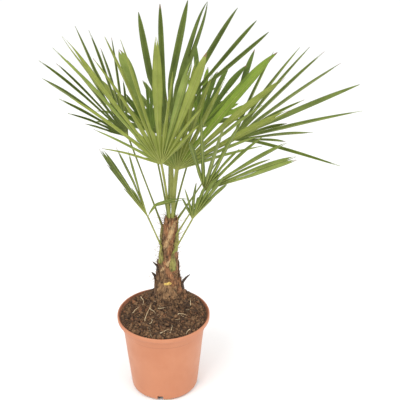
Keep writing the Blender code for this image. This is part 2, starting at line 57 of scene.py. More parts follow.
# sizes shared with the part, in metres
plant = {
    "moundLevel": 0.199,
    "trunkFoot": Vector((0.012, 0.050, 0.1994)),
    "trunkHead": Vector((0.019, 0.045, 0.418)),
    "footRadius": 0.0375,
    "headRadius": 0.0125,
    "rootFlare": 0.0035,
    "taperPower": 1.6,
    "sway": 0.004,
    "ridges": 3,
    "ridgeDepth": 0.05,
}


# helpers for shapes


def bearing(degrees, distance=1.0):
    # level vector: 0 is +X and 90 is the back, +Y
    turn = math.radians(degrees)
    return Vector((distance * math.cos(turn), distance * math.sin(turn), 0))


def smoothStep(low, high, value):
    share = min(1.0, max(0.0, (value - low) / (high - low)))
    return share * share * (3 - 2 * share)


def turnedBy(axes, *angles):
    # one rotation after another, the last one first
    turned = Matrix.Identity(3)
    for axis, angle in zip(axes, angles):
        turned = turned @ Matrix.Rotation(angle, 3, axis)
    return np.array(turned)


def meshFrom(bm, name):
    mesh = bpy.data.meshes.new(name)
    bm.to_mesh(mesh)
    bm.free()
    return mesh


def bevelEdges(bm, geom, offset, segments=1):
    return bmesh.ops.bevel(bm, geom=geom, offset=offset, offset_type="OFFSET", segments=segments,
                           profile=0.5, affect="EDGES", material=-1)["verts"]


def gridTemplate(columns, rows):
    # a flat grid, x and y from -1 to 1, with its own UV map
    bm = bmesh.new()
    bm.loops.layers.uv.new("uv")
    bmesh.ops.create_grid(bm, x_segments=columns, y_segments=rows, size=1, calc_uvs=True)
    return meshFrom(bm, "gridTemplate")


def tubeTemplate(sides, rings):
    # a closed tube of radius 1, z from 0 to 1
    bm = bmesh.new()
    uv = bm.loops.layers.uv.new("uv")
    bmesh.ops.create_cone(bm, cap_ends=True, segments=sides, radius1=1, radius2=1, depth=1)
    bmesh.ops.translate(bm, vec=(0, 0, 0.5), verts=bm.verts)
    uprights = [e for e in bm.edges if abs(e.verts[0].co.z - e.verts[1].co.z) > 0.5]
    bmesh.ops.subdivide_edges(bm, edges=uprights, cuts=rings - 1)
    for face in bm.faces:
        middle = math.atan2(face.calc_center_median().y, face.calc_center_median().x)
        for loop in face.loops:
            turn = math.atan2(loop.vert.co.y, loop.vert.co.x)
            turn += math.tau * round((middle - turn) / math.tau)
            loop[uv].uv = (turn / math.tau + 0.5, loop.vert.co.z)
    return meshFrom(bm, "tubeTemplate")


def chipTemplate():
    # a bevelled block for bark and clods
    bm = bmesh.new()
    bm.loops.layers.uv.new("uv")
    bmesh.ops.create_cube(bm, size=2, calc_uvs=True)
    bevelEdges(bm, bm.edges[:] + bm.verts[:], 0.5)
    return meshFrom(bm, "chipTemplate")


def readAll(items, key, width=1, kind=float):
    values = np.empty(len(items) * width, dtype=kind)
    items.foreach_get(key, values)
    return values


def pointsOf(template):
    return readAll(template.vertices, "co", 3).reshape(-1, 3)


def placedBy(template, placeOf):
    # the template's points, each moved to the place that a rule gives for it
    return np.array([tuple(placeOf(*point)) for point in pointsOf(template)])


def stampMesh(name, template, layouts, slots=None):
    # one joined mesh: a copy of the template for each layout, which gives its points' places
    copies, pointCount = len(layouts), len(template.vertices)
    corners = readAll(template.loops, "vertex_index", kind=np.int64)
    starts = readAll(template.polygons, "loop_start", kind=np.int64)
    mesh = bpy.data.meshes.new(name)
    mesh.vertices.add(copies * pointCount)
    mesh.vertices.foreach_set("co", np.concatenate(layouts).ravel())
    step = np.arange(copies)[:, None]
    mesh.loops.add(copies * len(corners))
    mesh.loops.foreach_set("vertex_index", (corners[None] + step * pointCount).ravel())
    mesh.polygons.add(copies * len(starts))
    mesh.polygons.foreach_set("loop_start", (starts[None] + step * len(corners)).ravel())
    uvs = readAll(template.uv_layers[0].data, "uv", 2)
    mesh.uv_layers.new(name="uv").data.foreach_set("uv", np.tile(uvs, copies))
    if slots:
        faceSlots = np.concatenate([np.broadcast_to(slot, (len(starts),)) for slot in slots])
        mesh.polygons.foreach_set("material_index", faceSlots.astype(np.int32))
    mesh.update(calc_edges=True)
    mesh.validate()
    return mesh


def tubeLayout(template, path, radii, sideways=None, flatness=1.0):
    # the template's points laid round a path; radii are at the path's points
    local = pointsOf(template)
    shares = np.linspace(0, 1, len(path))
    nothing = 1e-12

    def readAlong(values):
        columns = np.asarray(values, float).T
        return np.stack([np.interp(local[:, 2], shares, column) for column in columns], axis=1)

    def unit(vectors):
        return vectors / (np.linalg.norm(vectors, axis=1, keepdims=True) + nothing)

    tangents = unit(np.gradient(np.asarray(path, float), axis=0))
    if sideways is None:
        steep = abs(tangents[0][0]) > 0.6
        sideways = [(0.31, 0.87, 0.39) if steep else (0.93, 0.21, 0.3)] * len(path)
    tangent, side = readAlong(tangents), readAlong(sideways)
    side = unit(side - tangent * (side * tangent).sum(1, keepdims=True))
    up = np.cross(tangent, side)
    radius = np.interp(local[:, 2], shares, radii)[:, None]
    return readAlong(path) + side * local[:, :1] * radius + up * local[:, 1:2] * radius * flatness


def mergePoints(mesh, distance=0.00001):
    bm = bmesh.new()
    bm.from_mesh(mesh)
    bmesh.ops.remove_doubles(bm, verts=bm.verts, dist=distance)
    bm.to_mesh(mesh)
    bm.free()


def addPiece(name, mesh, materials, replaced=(), smooth=0):
    # smooth is the angle in degrees past which an edge stays sharp; 0 leaves the faces flat
    if smooth:
        mesh.shade_smooth()
        mesh.set_sharp_from_angle(angle=math.radians(smooth))
    piece = bpy.data.objects.new(name, mesh)
    bpy.context.scene.collection.objects.link(piece)
    for material in materials:
        mesh.materials.append(material)
    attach(piece, "root")
    if replaced:
        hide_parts(*replaced)
    return piece


def thicken(piece, thickness, farSlot=0):
    # a sheet's thickness; its far side takes the material farSlot places further on
    solidify = piece.modifiers.new("thickness", "SOLIDIFY")
    solidify.thickness = thickness
    solidify.offset = 0
    solidify.material_offset = farSlot


# shader groups and materials


def addNode(tree, kind, feeds=None, **settings):
    # feeds gives inputs by name or number: a socket is linked, and a plain value is set
    made = tree.nodes.new(kind)
    for key, value in settings.items():
        setattr(made, key, value)
    for key, value in (feeds or {}).items():
        if isinstance(value, bpy.types.NodeSocket):
            tree.links.new(value, made.inputs[key])
        else:
            made.inputs[key].default_value = value
    return made


def mixColours(tree, factor, first, second):
    # factor, first and second are sockets or plain values
    feeds = {0: factor, 6: first, 7: second}
    return addNode(tree, "ShaderNodeMix", feeds, data_type="RGBA").outputs[2]


def rangeOf(tree, value, low, high, toLow=0.0, toHigh=1.0):
    feeds = {"Value": value, "From Min": low, "From Max": high, "To Min": toLow, "To Max": toHigh}
    return addNode(tree, "ShaderNodeMapRange", feeds).outputs["Result"]


def mathOf(tree, operation, *values):
    return addNode(tree, "ShaderNodeMath", dict(enumerate(values)), operation=operation).outputs[0]


def noiseOf(tree, vector, scale, detail=3.0, roughness=0.55):
    feeds = {"Vector": vector, "Scale": scale, "Detail": detail, "Roughness": roughness}
    return addNode(tree, "ShaderNodeTexNoise", feeds).outputs["Fac"]


def stretched(tree, vector, scale, rotation=(0, 0, 0)):
    feeds = {"Vector": vector, "Scale": scale, "Rotation": rotation}
    return addNode(tree, "ShaderNodeMapping", feeds).outputs["Vector"]


def newGroup(name, inputs):
    # an input of None is a vector, a number a float and four numbers a colour
    group = bpy.data.node_groups.new(name, "ShaderNodeTree")
    for label, value in inputs.items():
        kind = "Vector" if value is None else "Float" if isinstance(value, float) else "Color"
        made = group.interface.new_socket(name=label, in_out="INPUT", socket_type="NodeSocket" + kind)
        if value is not None:
            made.default_value = value
    for label, kind in (("Colour", "Color"), ("Height", "Float")):
        group.interface.new_socket(name=label, in_out="OUTPUT", socket_type="NodeSocket" + kind)
    return group, group.nodes.new("NodeGroupInput").outputs


def closeGroup(group, colour, height):
    out = group.nodes.new("NodeGroupOutput")
    group.links.new(colour, out.inputs["Colour"])
    group.links.new(height, out.inputs["Height"])
    return group


def makeLeafGrain():
    # fine veins along the leaflet and slow patches over the plant
    group, given = newGroup("leafGrain", {"Leaf UV": None, "Place": None, "Light": (0.4, 0.5, 0.1, 1),
                                          "Dark": (0.2, 0.3, 0.05, 1), "Vein": (0.5, 0.6, 0.2, 1)})
    lines = rangeOf(group, noiseOf(group, stretched(group, given["Leaf UV"], (46, 0.9, 1)), 1.0, 2), 0.4, 0.62)
    patches = rangeOf(group, noiseOf(group, given["Place"], 26, 3), 0.35, 0.68)
    base = mixColours(group, patches, given["Light"], given["Dark"])
    veined = mixColours(group, mathOf(group, "MULTIPLY", lines, 0.45), base, given["Vein"])
    specks = rangeOf(group, noiseOf(group, given["Place"], 420, 2), 0.3, 0.75, 0.0, 0.22)
    return closeGroup(group, mixColours(group, specks, veined, given["Dark"]), lines)


def makeStrands():
    # two crossing sets of fibre strands, as in the net round a palm's trunk
    group, given = newGroup("strands", {"Place": None, "Light": (0.4, 0.2, 0.1, 1),
                                        "Middle": (0.2, 0.1, 0.05, 1), "Dark": (0.04, 0.02, 0.01, 1)})
    sets = [noiseOf(group, stretched(group, given["Place"], (460, 460, 60), rotation), 1.0, 3)
            for rotation in ((0.5, 0.35, 0), (-0.5, -0.4, 0))]
    net = rangeOf(group, mathOf(group, "MAXIMUM", *sets), 0.48, 0.70)
    patches = rangeOf(group, noiseOf(group, given["Place"], 110, 4), 0.38, 0.62)
    body = mixColours(group, patches, given["Middle"], given["Dark"])
    return closeGroup(group, mixColours(group, net, body, given["Light"]), net)


def makeCrumble():
    # grainy patches for soil, bark and dry parts
    group, given = newGroup("crumble", {"Place": None, "Grain": 400.0, "Light": (0.2, 0.1, 0.05, 1),
                                        "Dark": (0.05, 0.03, 0.02, 1)})
    grains = rangeOf(group, noiseOf(group, given["Place"], given["Grain"], 5, 0.5), 0.34, 0.68)
    return closeGroup(group, mixColours(group, grains, given["Dark"], given["Light"]), grains)


# each group with the names of its colour inputs
effects = {
    "leafGrain": (makeLeafGrain(), ("Light", "Dark", "Vein")),
    "strands": (makeStrands(), ("Light", "Middle", "Dark")),
    "crumble": (makeCrumble(), ("Light", "Dark")),
}


def newMaterial(name, roughness):
    material = bpy.data.materials.new(name)
    material.use_nodes = True
    tree = material.node_tree
    shader = tree.nodes["Principled BSDF"]
    shader.inputs["Roughness"].default_value = roughness
    return material, tree, shader, addNode(tree, "ShaderNodeTexCoord").outputs


def bumpFrom(tree, shader, height, distance, strength=0.6):
    bump = addNode(tree, "ShaderNodeBump", {"Strength": strength, "Distance": distance, "Height": height})
    tree.links.new(bump.outputs["Normal"], shader.inputs["Normal"])


def effectMaterial(name, effectName, tones, roughness, bump, grain=None):
    # a material whose colour and relief come from one of the groups above
    material, tree, shader, coordinates = newMaterial(name, roughness)
    group, labels = effects[effectName]
    feeds = {label: (*tone, 1) for label, tone in zip(labels, tones)}
    feeds["Place"] = coordinates["Object"]
    if effectName == "leafGrain":
        feeds["Leaf UV"] = coordinates["UV"]
    if grain:
        feeds["Grain"] = grain
    effect = addNode(tree, "ShaderNodeGroup", feeds, node_tree=group)
    tree.links.new(effect.outputs["Colour"], shader.inputs["Base Color"])
    bumpFrom(tree, shader, effect.outputs["Height"], bump)
    return material


leafColours = {
    # light, dark and vein colour of each kind of leaflet side
    "paleUnder": ((0.215, 0.275, 0.056), (0.125, 0.170, 0.026), (0.285, 0.330, 0.085)),
    "warmUnder": ((0.240, 0.280, 0.050), (0.150, 0.185, 0.022), (0.310, 0.340, 0.085)),
    "greyUnder": ((0.185, 0.222, 0.066), (0.115, 0.148, 0.036), (0.250, 0.282, 0.098)),
    "midUpper": ((0.150, 0.198, 0.034), (0.085, 0.118, 0.015), (0.212, 0.262, 0.058)),
    "deepUpper": ((0.110, 0.150, 0.026), (0.052, 0.076, 0.011), (0.165, 0.208, 0.045)),
    "lightUpper": ((0.215, 0.275, 0.052), (0.100, 0.150, 0.018), (0.290, 0.335, 0.080)),
    "freshDeep": ((0.110, 0.172, 0.020), (0.052, 0.088, 0.009), (0.165, 0.230, 0.036)),
    "freshUpper": ((0.195, 0.285, 0.028), (0.105, 0.168, 0.013), (0.275, 0.365, 0.055)),
    "dryTip": ((0.240, 0.170, 0.075), (0.130, 0.085, 0.040), (0.340, 0.260, 0.130)),
    "rib": ((0.315, 0.345, 0.085), (0.230, 0.260, 0.055), (0.400, 0.410, 0.140)),
    "stalkPale": ((0.285, 0.300, 0.072), (0.185, 0.200, 0.038), (0.360, 0.365, 0.110)),
    "stalkGreen": ((0.185, 0.215, 0.044), (0.115, 0.142, 0.025), (0.250, 0.275, 0.070)),
}
leafMaterials = {}
for leafTone, leafTones in leafColours.items():
    leafRoughness = 0.8 if leafTone == "dryTip" else 0.5
    leafMaterial = effectMaterial(leafTone, "leafGrain", leafTones, leafRoughness, 0.0002)
    leafMaterial.node_tree.nodes["Principled BSDF"].inputs["Specular IOR Level"].default_value = 0.25
    leafMaterials[leafTone] = leafMaterial
print("palm: leaf materials ready")


# the pot

potSizes = {
    "height": 0.193,
    "rimRadius": 0.105,
    "rimInner": 0.1016,
    "lipDepth": 0.0105,
    "lipEdge": 0.002,
    "lipFillet": 0.0016,
    "collarRadius": 0.0951,
    "collarDepth": 0.030,
    "collarEdge": 0.0009,
    "bodyTop": 0.0925,
    "bodyFoot": 0.0762,
    "bodyRings": 10,
    "footRounding": 0.011,
    "wall": 0.0026,
    "floorTop": 0.006,
    "floorFillet": 0.0045,
    "padRadius": 0.050,
    "padEdge": 0.0006,
    "grooveRadius": 0.062,
    "grooveDepth": 0.0035,
    "grooveSlope": 0.001,
    "notchWidth": 0.0135,
    "notchHeight": 0.0145,
    "notchEdge": 0.0016,
    "notchBearing": 264,
    "notches": 4,
    "steps": 144,
}


def bodyRadius(height):
    share = height / (potSizes["height"] - potSizes["collarDepth"])
    return potSizes["bodyFoot"] + (potSizes["bodyTop"] - potSizes["bodyFoot"]) * share


def arcPoints(x, z, radius, first, last, count):
    turns = [math.radians(first + (last - first) * k / (count - 1)) for k in range(count)]
    return [(x + radius * math.cos(t), z + radius * math.sin(t)) for t in turns]


def potProfile():
    # from the middle of the floor up the inner wall, over the lip and down to the pad under the foot
    p = potSizes
    under, edge = p["height"] - p["lipDepth"], p["height"] - p["collarDepth"]
    lip = (p["rimRadius"] - p["rimInner"]) / 2
    fillet, lipEdge, lipFillet, collarEdge = p["floorFillet"], p["lipEdge"], p["lipFillet"], p["collarEdge"]
    floorRadius = bodyRadius(p["floorTop"]) - p["wall"]
    innerCollar = p["collarRadius"] - p["wall"]
    corner = bodyRadius(p["footRounding"]) - p["footRounding"]
    return [
        (0, p["floorTop"]),
        *arcPoints(floorRadius - fillet, p["floorTop"] + fillet, fillet, -90, 0, 5),
        (p["bodyTop"] - p["wall"], edge), (innerCollar, edge + 0.002), (innerCollar, under - 0.001),
        (p["rimInner"] - 0.0041, p["height"] - 0.0085), (p["rimInner"] - 0.0011, p["height"] - 0.004),
        *arcPoints(p["rimRadius"] - lip, p["height"] - lip, lip, 180, 0, 9),
        *arcPoints(p["rimRadius"] - lipEdge, under + lipEdge, lipEdge, 0, -90, 5),
        *arcPoints(p["collarRadius"] + lipFillet, under - lipFillet, lipFillet, 90, 180, 4),
        *arcPoints(p["collarRadius"] - collarEdge, edge + collarEdge, collarEdge, 0, -90, 4),
        (p["bodyTop"] + 0.0001, edge - 0.0004), (p["bodyTop"], edge - 0.0012),
        *[(bodyRadius(edge * k / p["bodyRings"]), edge * k / p["bodyRings"])
          for k in range(p["bodyRings"] - 1, 0, -1)],
        *arcPoints(corner, p["footRounding"], p["footRounding"], 0, -90, 9),
        (p["grooveRadius"] + p["padEdge"], 0), (p["grooveRadius"], p["padEdge"]),
        (p["grooveRadius"] - p["grooveSlope"], p["grooveDepth"]),
        (p["padRadius"] + p["grooveSlope"], p["grooveDepth"]),
        (p["padRadius"], p["padEdge"]), (p["padRadius"] - p["padEdge"], 0), (0, 0),
    ]


def spinProfile(name, points, steps, merge=0.00002):
    # a chain of (radius, height) points turned once round Z
    bm = bmesh.new()
    chain = [bm.verts.new((radius, 0, height)) for radius, height in points]
    edges = [bm.edges.new(pair) for pair in zip(chain, chain[1:])]
    bmesh.ops.spin(bm, geom=chain + edges, cent=(0, 0, 0), axis=(0, 0, 1), dvec=(0, 0, 0),
                   angle=math.tau, steps=steps, use_merge=True)
    bmesh.ops.remove_doubles(bm, verts=bm.verts, dist=merge)
    bmesh.ops.recalc_face_normals(bm, faces=bm.faces)
    return meshFrom(bm, name)


def cutNotches(mesh):
    # drain notches through the foot's ring, cut by boxes with rounded edges
    p = potSizes
    bm = bmesh.new()
    inner, outer = (p["grooveRadius"] + p["padRadius"]) / 2, p["rimRadius"]
    for number in range(p["notches"]):
        turn = math.radians(p["notchBearing"] + number * 360 / p["notches"])
        box = bmesh.ops.create_cube(bm, size=1)["verts"]
        bmesh.ops.scale(bm, vec=(outer - inner, p["notchWidth"], 2 * p["notchHeight"]), verts=box)
        lengthwise = [e for e in bm.edges
                      if e.verts[0] in box and abs(e.verts[0].co.x - e.verts[1].co.x) > 0.01]
        bevelled = bevelEdges(bm, lengthwise, p["notchEdge"], 3)
        whole = list({v for v in box if v.is_valid} | set(bevelled))
        bmesh.ops.translate(bm, vec=((outer + inner) / 2, 0, 0), verts=whole)
        bmesh.ops.rotate(bm, cent=(0, 0, 0), matrix=Matrix.Rotation(turn, 3, "Z"), verts=whole)
    cutter = bpy.data.objects.new("notchCutter", meshFrom(bm, "notchCutter"))
    blank = bpy.data.objects.new("potBlank", mesh)
    for helper in (cutter, blank):
        bpy.context.scene.collection.objects.link(helper)
    cut = blank.modifiers.new("notches", "BOOLEAN")
    cut.operation = "DIFFERENCE"
    cut.object = cutter
    done = bpy.data.meshes.new_from_object(blank.evaluated_get(bpy.context.evaluated_depsgraph_get()))
    for helper in (cutter, blank):
        bpy.data.objects.remove(helper, do_unlink=True)
    return done


potColours = {
    "light": (0.505, 0.196, 0.094, 1),
    "dark": (0.470, 0.174, 0.081, 1),
    "speck": (0.60, 0.29, 0.16, 1),
    "stain": (0.185, 0.075, 0.045, 1),
    # painted shade for the bands just under the lip's and the collar's lower edges
    "paintedEdgeShade": (0.300, 0.095, 0.042, 1),
    "foot": (0.300, 0.165, 0.085, 1),
    "dust": (0.57, 0.27, 0.15, 1),
}


def potMaterial():
    # matt moulded plastic: slow mottling, fine speckle, soil stains on the inner wall, and painted shade in a
    # band under the lip's and the collar's lower edges
    material, tree, shader, coordinates = newMaterial("terracottaPlastic", 0.42)
    place = coordinates["Object"]
    slow = rangeOf(tree, noiseOf(tree, place, 14, 3), 0.35, 0.68)
    colour = mixColours(tree, slow, potColours["light"], potColours["dark"])
    split = addNode(tree, "ShaderNodeSeparateXYZ", {"Vector": place}).outputs
    squares = [mathOf(tree, "MULTIPLY", split[axis], split[axis]) for axis in ("X", "Y")]
    across = mathOf(tree, "SQRT", mathOf(tree, "ADD", *squares))
    inside = rangeOf(tree, across, potSizes["rimInner"] + 0.0016, potSizes["rimInner"] - 0.0004)
    high = rangeOf(tree, split["Z"], potSizes["height"] - 0.0125, potSizes["height"] - 0.0115)
    patchy = rangeOf(tree, noiseOf(tree, place, 60, 4), 0.3, 0.7, 0.5, 1.0)
    layers = [("speck", rangeOf(tree, noiseOf(tree, place, 900, 2, 0.6), 0.62, 0.80, 0.0, 0.3)),
              ("stain", mathOf(tree, "MULTIPLY", mathOf(tree, "MULTIPLY", inside, high), patchy))]
    # painted shade: a darker band just under the lip's lower edge and under the collar's lower edge, where
    # their shadow falls
    for edge in (potSizes["height"] - potSizes["lipDepth"], potSizes["height"] - potSizes["collarDepth"]):
        under = rangeOf(tree, split["Z"], edge - 0.0050, edge - 0.0002, 0.0, 0.42)
        below = rangeOf(tree, split["Z"], edge + 0.0006, edge)
        layers.append(("paintedEdgeShade", mathOf(tree, "MULTIPLY", under, below)))
    layers.append(("foot", rangeOf(tree, split["Z"], 0.0075, 0.0025, 0.0, 0.65)))
    drifts = noiseOf(tree, stretched(tree, place, (30, 30, 9)), 1.0, 4)
    layers.append(("dust", rangeOf(tree, drifts, 0.52, 0.78, 0.0, 0.16)))
    for name, mask in layers:
        colour = mixColours(tree, mask, colour, potColours[name])
    tree.links.new(colour, shader.inputs["Base Color"])
    tree.links.new(rangeOf(tree, slow, 0, 1, 0.38, 0.50), shader.inputs["Roughness"])
    bumpFrom(tree, shader, noiseOf(tree, place, 700, 3), 0.00012, 0.5)
    return material


potMesh = cutNotches(spinProfile("potBody", potProfile(), potSizes["steps"]))
addPiece("potBody", potMesh, [potMaterial()], ["pot"], 35)
print("palm: pot,", len(potMesh.polygons), "faces")


# the soil

soilSizes = {
    "level": 0.1862,
    "topRadius": 0.0985,
    "moundFlat": 0.040,
    "moundSlope": 0.034,
    # how often to a metre the surface's bumps come, how high they are and where their noise is read
    "bumps": ((55, 0.0030, 3.1), (190, 0.0014, 8.7), (520, 0.0005, 1.3)),
    "rings": 46,
    "steps": 168,
    # radius and height of the bed's shoulder, inside the lip
    "shoulder": ((0.0978, 0.1842), (0.0918, 0.1812)),
    "wallGap": 0.0006,
    "floor": 0.0066,
    "floorCorner": 0.0045,
    # bark and crumbs: how many, least and greatest size, materials to choose from, how far they stand out
    "grains": ((640, (0.0045, 0.0125), (0, 0, 1, 1, 1, 2), 0.3),
               (2300, (0.0014, 0.0044), (0, 0, 0, 0, 1, 1, 1, 1, 2, 2, 3), 0.6)),
    # root fibres: how many, lengths, radii, lift, bend, materials to choose from
    "fibres": ((40, (0.012, 0.030), (0.0003, 0.0006), 0.03, 0.16, (0, 1, 1)),
               (240, (0.006, 0.020), (0.00015, 0.00035), 0.08, 0.2, (1, 1, 2))),
    "fibreSteps": 8,
    "bareRadius": 0.0009,
    "bareRise": 0.0036,
    # long pale roots that lie bare on the soil: x, y, heading in degrees, length, curl at each step
    "bareRoots": ((-0.071, 0.002, 60, 0.023, 0.0), (-0.041, -0.030, 86, 0.057, 0.05),
                  (-0.0315, 0.0095, -58, 0.024, 0.0), (-0.031, 0.050, -68, 0.052, 0.03),
                  (-0.013, 0.005, -20, 0.022, 0.06), (-0.055, 0.059, -71, 0.036, -0.06),
                  (-0.005, -0.076, 38, 0.026, -0.09), (0.017, -0.072, 64, 0.030, 0.12),
                  (0.033, -0.014, 50, 0.022, -0.10), (0.061, -0.061, -144, 0.020, 0.08),
                  (-0.030, -0.040, 20, 0.018, 0.2), (0.062, 0.020, 120, 0.026, -0.1)),
}
soilColours = {
    # light and dark colour, and how fine the grain is
    "soilDark": ((0.105, 0.052, 0.022), (0.016, 0.007, 0.003), 260),
    "barkBrown": ((0.255, 0.140, 0.064), (0.070, 0.033, 0.014), 180),
    "barkRed": ((0.255, 0.112, 0.048), (0.080, 0.034, 0.014), 160),
    "barkPale": ((0.420, 0.270, 0.140), (0.170, 0.090, 0.042), 200),
    "rootPale": ((0.800, 0.660, 0.430), (0.560, 0.400, 0.220), 300),
}
soilMaterials = {name: effectMaterial(name, "crumble", (light, dark), 0.92, 0.0006, grain)
                 for name, (light, dark, grain) in soilColours.items()}


def fromTrunk(x, y):
    return math.hypot(x - plant["trunkFoot"].x, y - plant["trunkFoot"].y)


def soilSurface(x, y):
    # the part's surface, level by the wall with a flat-topped mound at the trunk's foot, and its bumps
    rise = math.exp(-(max(0.0, fromTrunk(x, y) - soilSizes["moundFlat"]) / soilSizes["moundSlope"]) ** 2)
    height = soilSizes["level"] + (plant["moundLevel"] - soilSizes["level"]) * rise
    for often, tall, where in soilSizes["bumps"]:
        height += noise.noise(Vector((x * often, y * often, where))) * tall
    return height


def makeSoilBed():
    s = soilSizes
    inner = potSizes["wall"] + s["wallGap"]
    corner = s["floor"] + s["floorCorner"]
    points = [(s["topRadius"] * k / s["rings"], s["level"]) for k in range(s["rings"] + 1)]
    points += [*s["shoulder"], (potSizes["bodyTop"] - inner, potSizes["height"] - potSizes["collarDepth"]),
               (bodyRadius(corner) - inner, corner),
               (bodyRadius(s["floor"]) - inner - s["floorCorner"], s["floor"]), (0, s["floor"])]
    mesh = spinProfile("soilBed", points, s["steps"])
    for vertex in mesh.vertices:
        if abs(vertex.co.z - s["level"]) < 0.0001:
            vertex.co.z = soilSurface(vertex.co.x, vertex.co.y)
    return mesh


def soilPlace(chance, widest):
    # a random place on the soil, outside the trunk's foot
    while True:
        radius, turn = widest * math.sqrt(chance.random()), chance.uniform(0, math.tau)
        x, y = radius * math.cos(turn), radius * math.sin(turn)
        if fromTrunk(x, y) > plant["footRadius"] - 0.004:
            return x, y


def wobbleOf(points, low, high, chance):
    return points * np.array([[chance.uniform(low, high)] for _ in range(len(points))])


def chipLayouts(template, count, sizes, choices, sink, chance):
    layouts, slots = [], []
    for _ in range(count):
        size = chance.uniform(*sizes) * chance.uniform(0.6, 1.0)
        x, y = soilPlace(chance, soilSizes["topRadius"] - size * 0.7)
        stretch = np.array([chance.uniform(*span) for span in ((0.7, 1.3), (0.5, 1.0), (0.3, 0.75))]) * size / 2
        block = wobbleOf(pointsOf(template), 0.75, 1.15, chance) * stretch
        turned = turnedBy("ZXY", chance.uniform(0, math.tau), chance.gauss(0, 0.5), chance.gauss(0, 0.4))
        layouts.append(block @ turned.T + np.array((x, y, soilSurface(x, y) + stretch[2] * sink)))
        slots.append(chance.choice(choices))
    return layouts, slots


def threadLayout(template, x, y, heading, curl, length, radius, lift, chance, raised=0.0):
    # one curved root fibre that lies on the soil
    steps = soilSizes["fibreSteps"]
    path, widths = [], []
    for k in range(steps + 1):
        path.append((x, y, soilSurface(x, y) + lift * (0.35 + math.sin(math.pi * k / steps)) * length + raised))
        widths.append(radius * (1 - 0.75 * k / steps))
        heading += curl
        x += math.cos(heading) * length / steps
        y += math.sin(heading) * length / steps
        if math.hypot(x, y) > soilSizes["topRadius"] - 0.002:
            # turned back from the wall
            heading += 0.9
            x *= 0.97
            y *= 0.97
        heading += chance.gauss(0, 0.18)
    return tubeLayout(template, path, widths)


def threadLayouts(template, count, lengths, radii, lift, bend, choices, chance):
    layouts, slots = [], []
    for _ in range(count):
        x, y = soilPlace(chance, soilSizes["topRadius"] - 0.012)
        heading, curl = chance.uniform(0, math.tau), chance.gauss(0, bend)
        length, radius = chance.uniform(*lengths), chance.uniform(*radii)
        layouts.append(threadLayout(template, x, y, heading, curl, length, radius, lift, chance))
        slots.append(chance.choice(choices))
    return layouts, slots


def gathered(rows, layoutsOf, template, chance):
    # the layouts and slots of several kinds, one after the other
    layouts, slots = [], []
    for row in rows:
        more, moreSlots = layoutsOf(template, *row, chance)
        layouts += more
        slots += moreSlots
    return layouts, slots


def makeSoil():
    s = soilSizes
    chance = random.Random("soil")
    dark, brown, red, pale, root = soilMaterials.values()
    addPiece("soilBed", makeSoilBed(), [dark], ["soil"], 60)
    chip = chipTemplate()
    chips = stampMesh("barkChips", chip, *gathered(s["grains"], chipLayouts, chip, chance))
    addPiece("barkChips", chips, [dark, brown, red, pale])
    thread = tubeTemplate(4, 10)
    layouts, slots = gathered(s["fibres"], threadLayouts, thread, chance)
    for x, y, heading, length, curl in s["bareRoots"]:
        layouts.append(threadLayout(thread, x, y, math.radians(heading), curl, length, s["bareRadius"], 0.03,
                                    chance, s["bareRise"]))
        slots.append(0)
    threads = stampMesh("rootThreads", thread, layouts, slots)
    addPiece("rootThreads", threads, [root, pale, brown], smooth=80)
    print("palm: soil,", len(chips.polygons), "chip faces")


makeSoil()


# the trunk

trunkSizes = {
    "sides": 150,
    "rings": 200,
    "sheathStep": 0.0016,
    "sheaths": 9,
    "lumps": 0.0012,
    # crossing strands: slope, how many to a metre, how far they follow the trunk's waves
    "strands": ((0.8, 2600, 4), (-0.9, 2400, 5)),
    "weave": 0.00045,
    "darkBelow": 0.052,
    "flaps": 46,
    "hairs": 1500,
    "longHairs": 340,
    "hairSteps": 5,
    "hairFloor": 0.196,
    "baseLength": 0.050,
    "sheetThickness": 0.0006,
    # strips of old sheath that cross the trunk: (turn, height) at both ends, width, how proud, material
    "bands": (((318, 0.213), (236, 0.142), 0.0125, 0.0022, 2), ((330, 0.200), (262, 0.128), 0.0100, 0.0014, 1),
              ((205, 0.210), (262, 0.165), 0.0090, 0.0012, 1), ((238, 0.112), (300, 0.064), 0.0130, 0.0014, 1),
              ((300, 0.122), (225, 0.085), 0.0100, 0.0012, 2), ((120, 0.205), (60, 0.130), 0.0120, 0.0018, 2),
              ((40, 0.160), (100, 0.090), 0.0120, 0.0014, 1), ((150, 0.130), (90, 0.070), 0.0130, 0.0014, 2),
              # the pale scar
              ((251, 0.056), (286, 0.059), 0.0095, 0.0018, 3)),
    # points of sheath that stand over the trunk's head: turn, foot, length, how far they lean out
    "points": ((238, 0.184, 0.038, 0.0026), (322, 0.180, 0.038, 0.0036), (150, 0.184, 0.032, 0.0030),
               (60, 0.184, 0.034, 0.0030), (100, 0.184, 0.030, 0.0020)),
    "knobs": 260,
    # the first knobs stand in one group to the front right
    "groupedKnobs": 9,
    "groupBearing": (308, 338),
    "knobSize": (0.0020, 0.0046),
    "heapWidth": 0.011,
    "heapHeight": 0.013,
}
fibreColours = {
    # light, middle and dark colour
    "fibreBrown": ((0.430, 0.255, 0.120), (0.185, 0.094, 0.038), (0.032, 0.014, 0.006)),
    "fibreRed": ((0.450, 0.230, 0.100), (0.225, 0.088, 0.034), (0.050, 0.018, 0.008)),
    "fibreTan": ((0.680, 0.470, 0.240), (0.400, 0.240, 0.105), (0.130, 0.070, 0.028)),
    "scarYellow": ((0.80, 0.60, 0.18), (0.62, 0.42, 0.09), (0.35, 0.20, 0.05)),
    "fibreDark": ((0.270, 0.155, 0.072), (0.105, 0.050, 0.022), (0.018, 0.008, 0.004)),
    "baseOlive": ((0.330, 0.310, 0.085), (0.215, 0.195, 0.048), (0.085, 0.060, 0.020)),
}
trunkTall = plant["trunkHead"].z - plant["trunkFoot"].z


def trunkAxis(height):
    share = height / trunkTall
    sway = plant["sway"] * math.sin(math.pi * min(1.0, max(0.0, share)))
    return plant["trunkFoot"].lerp(plant["trunkHead"], share) - Vector((sway, 0, 0))


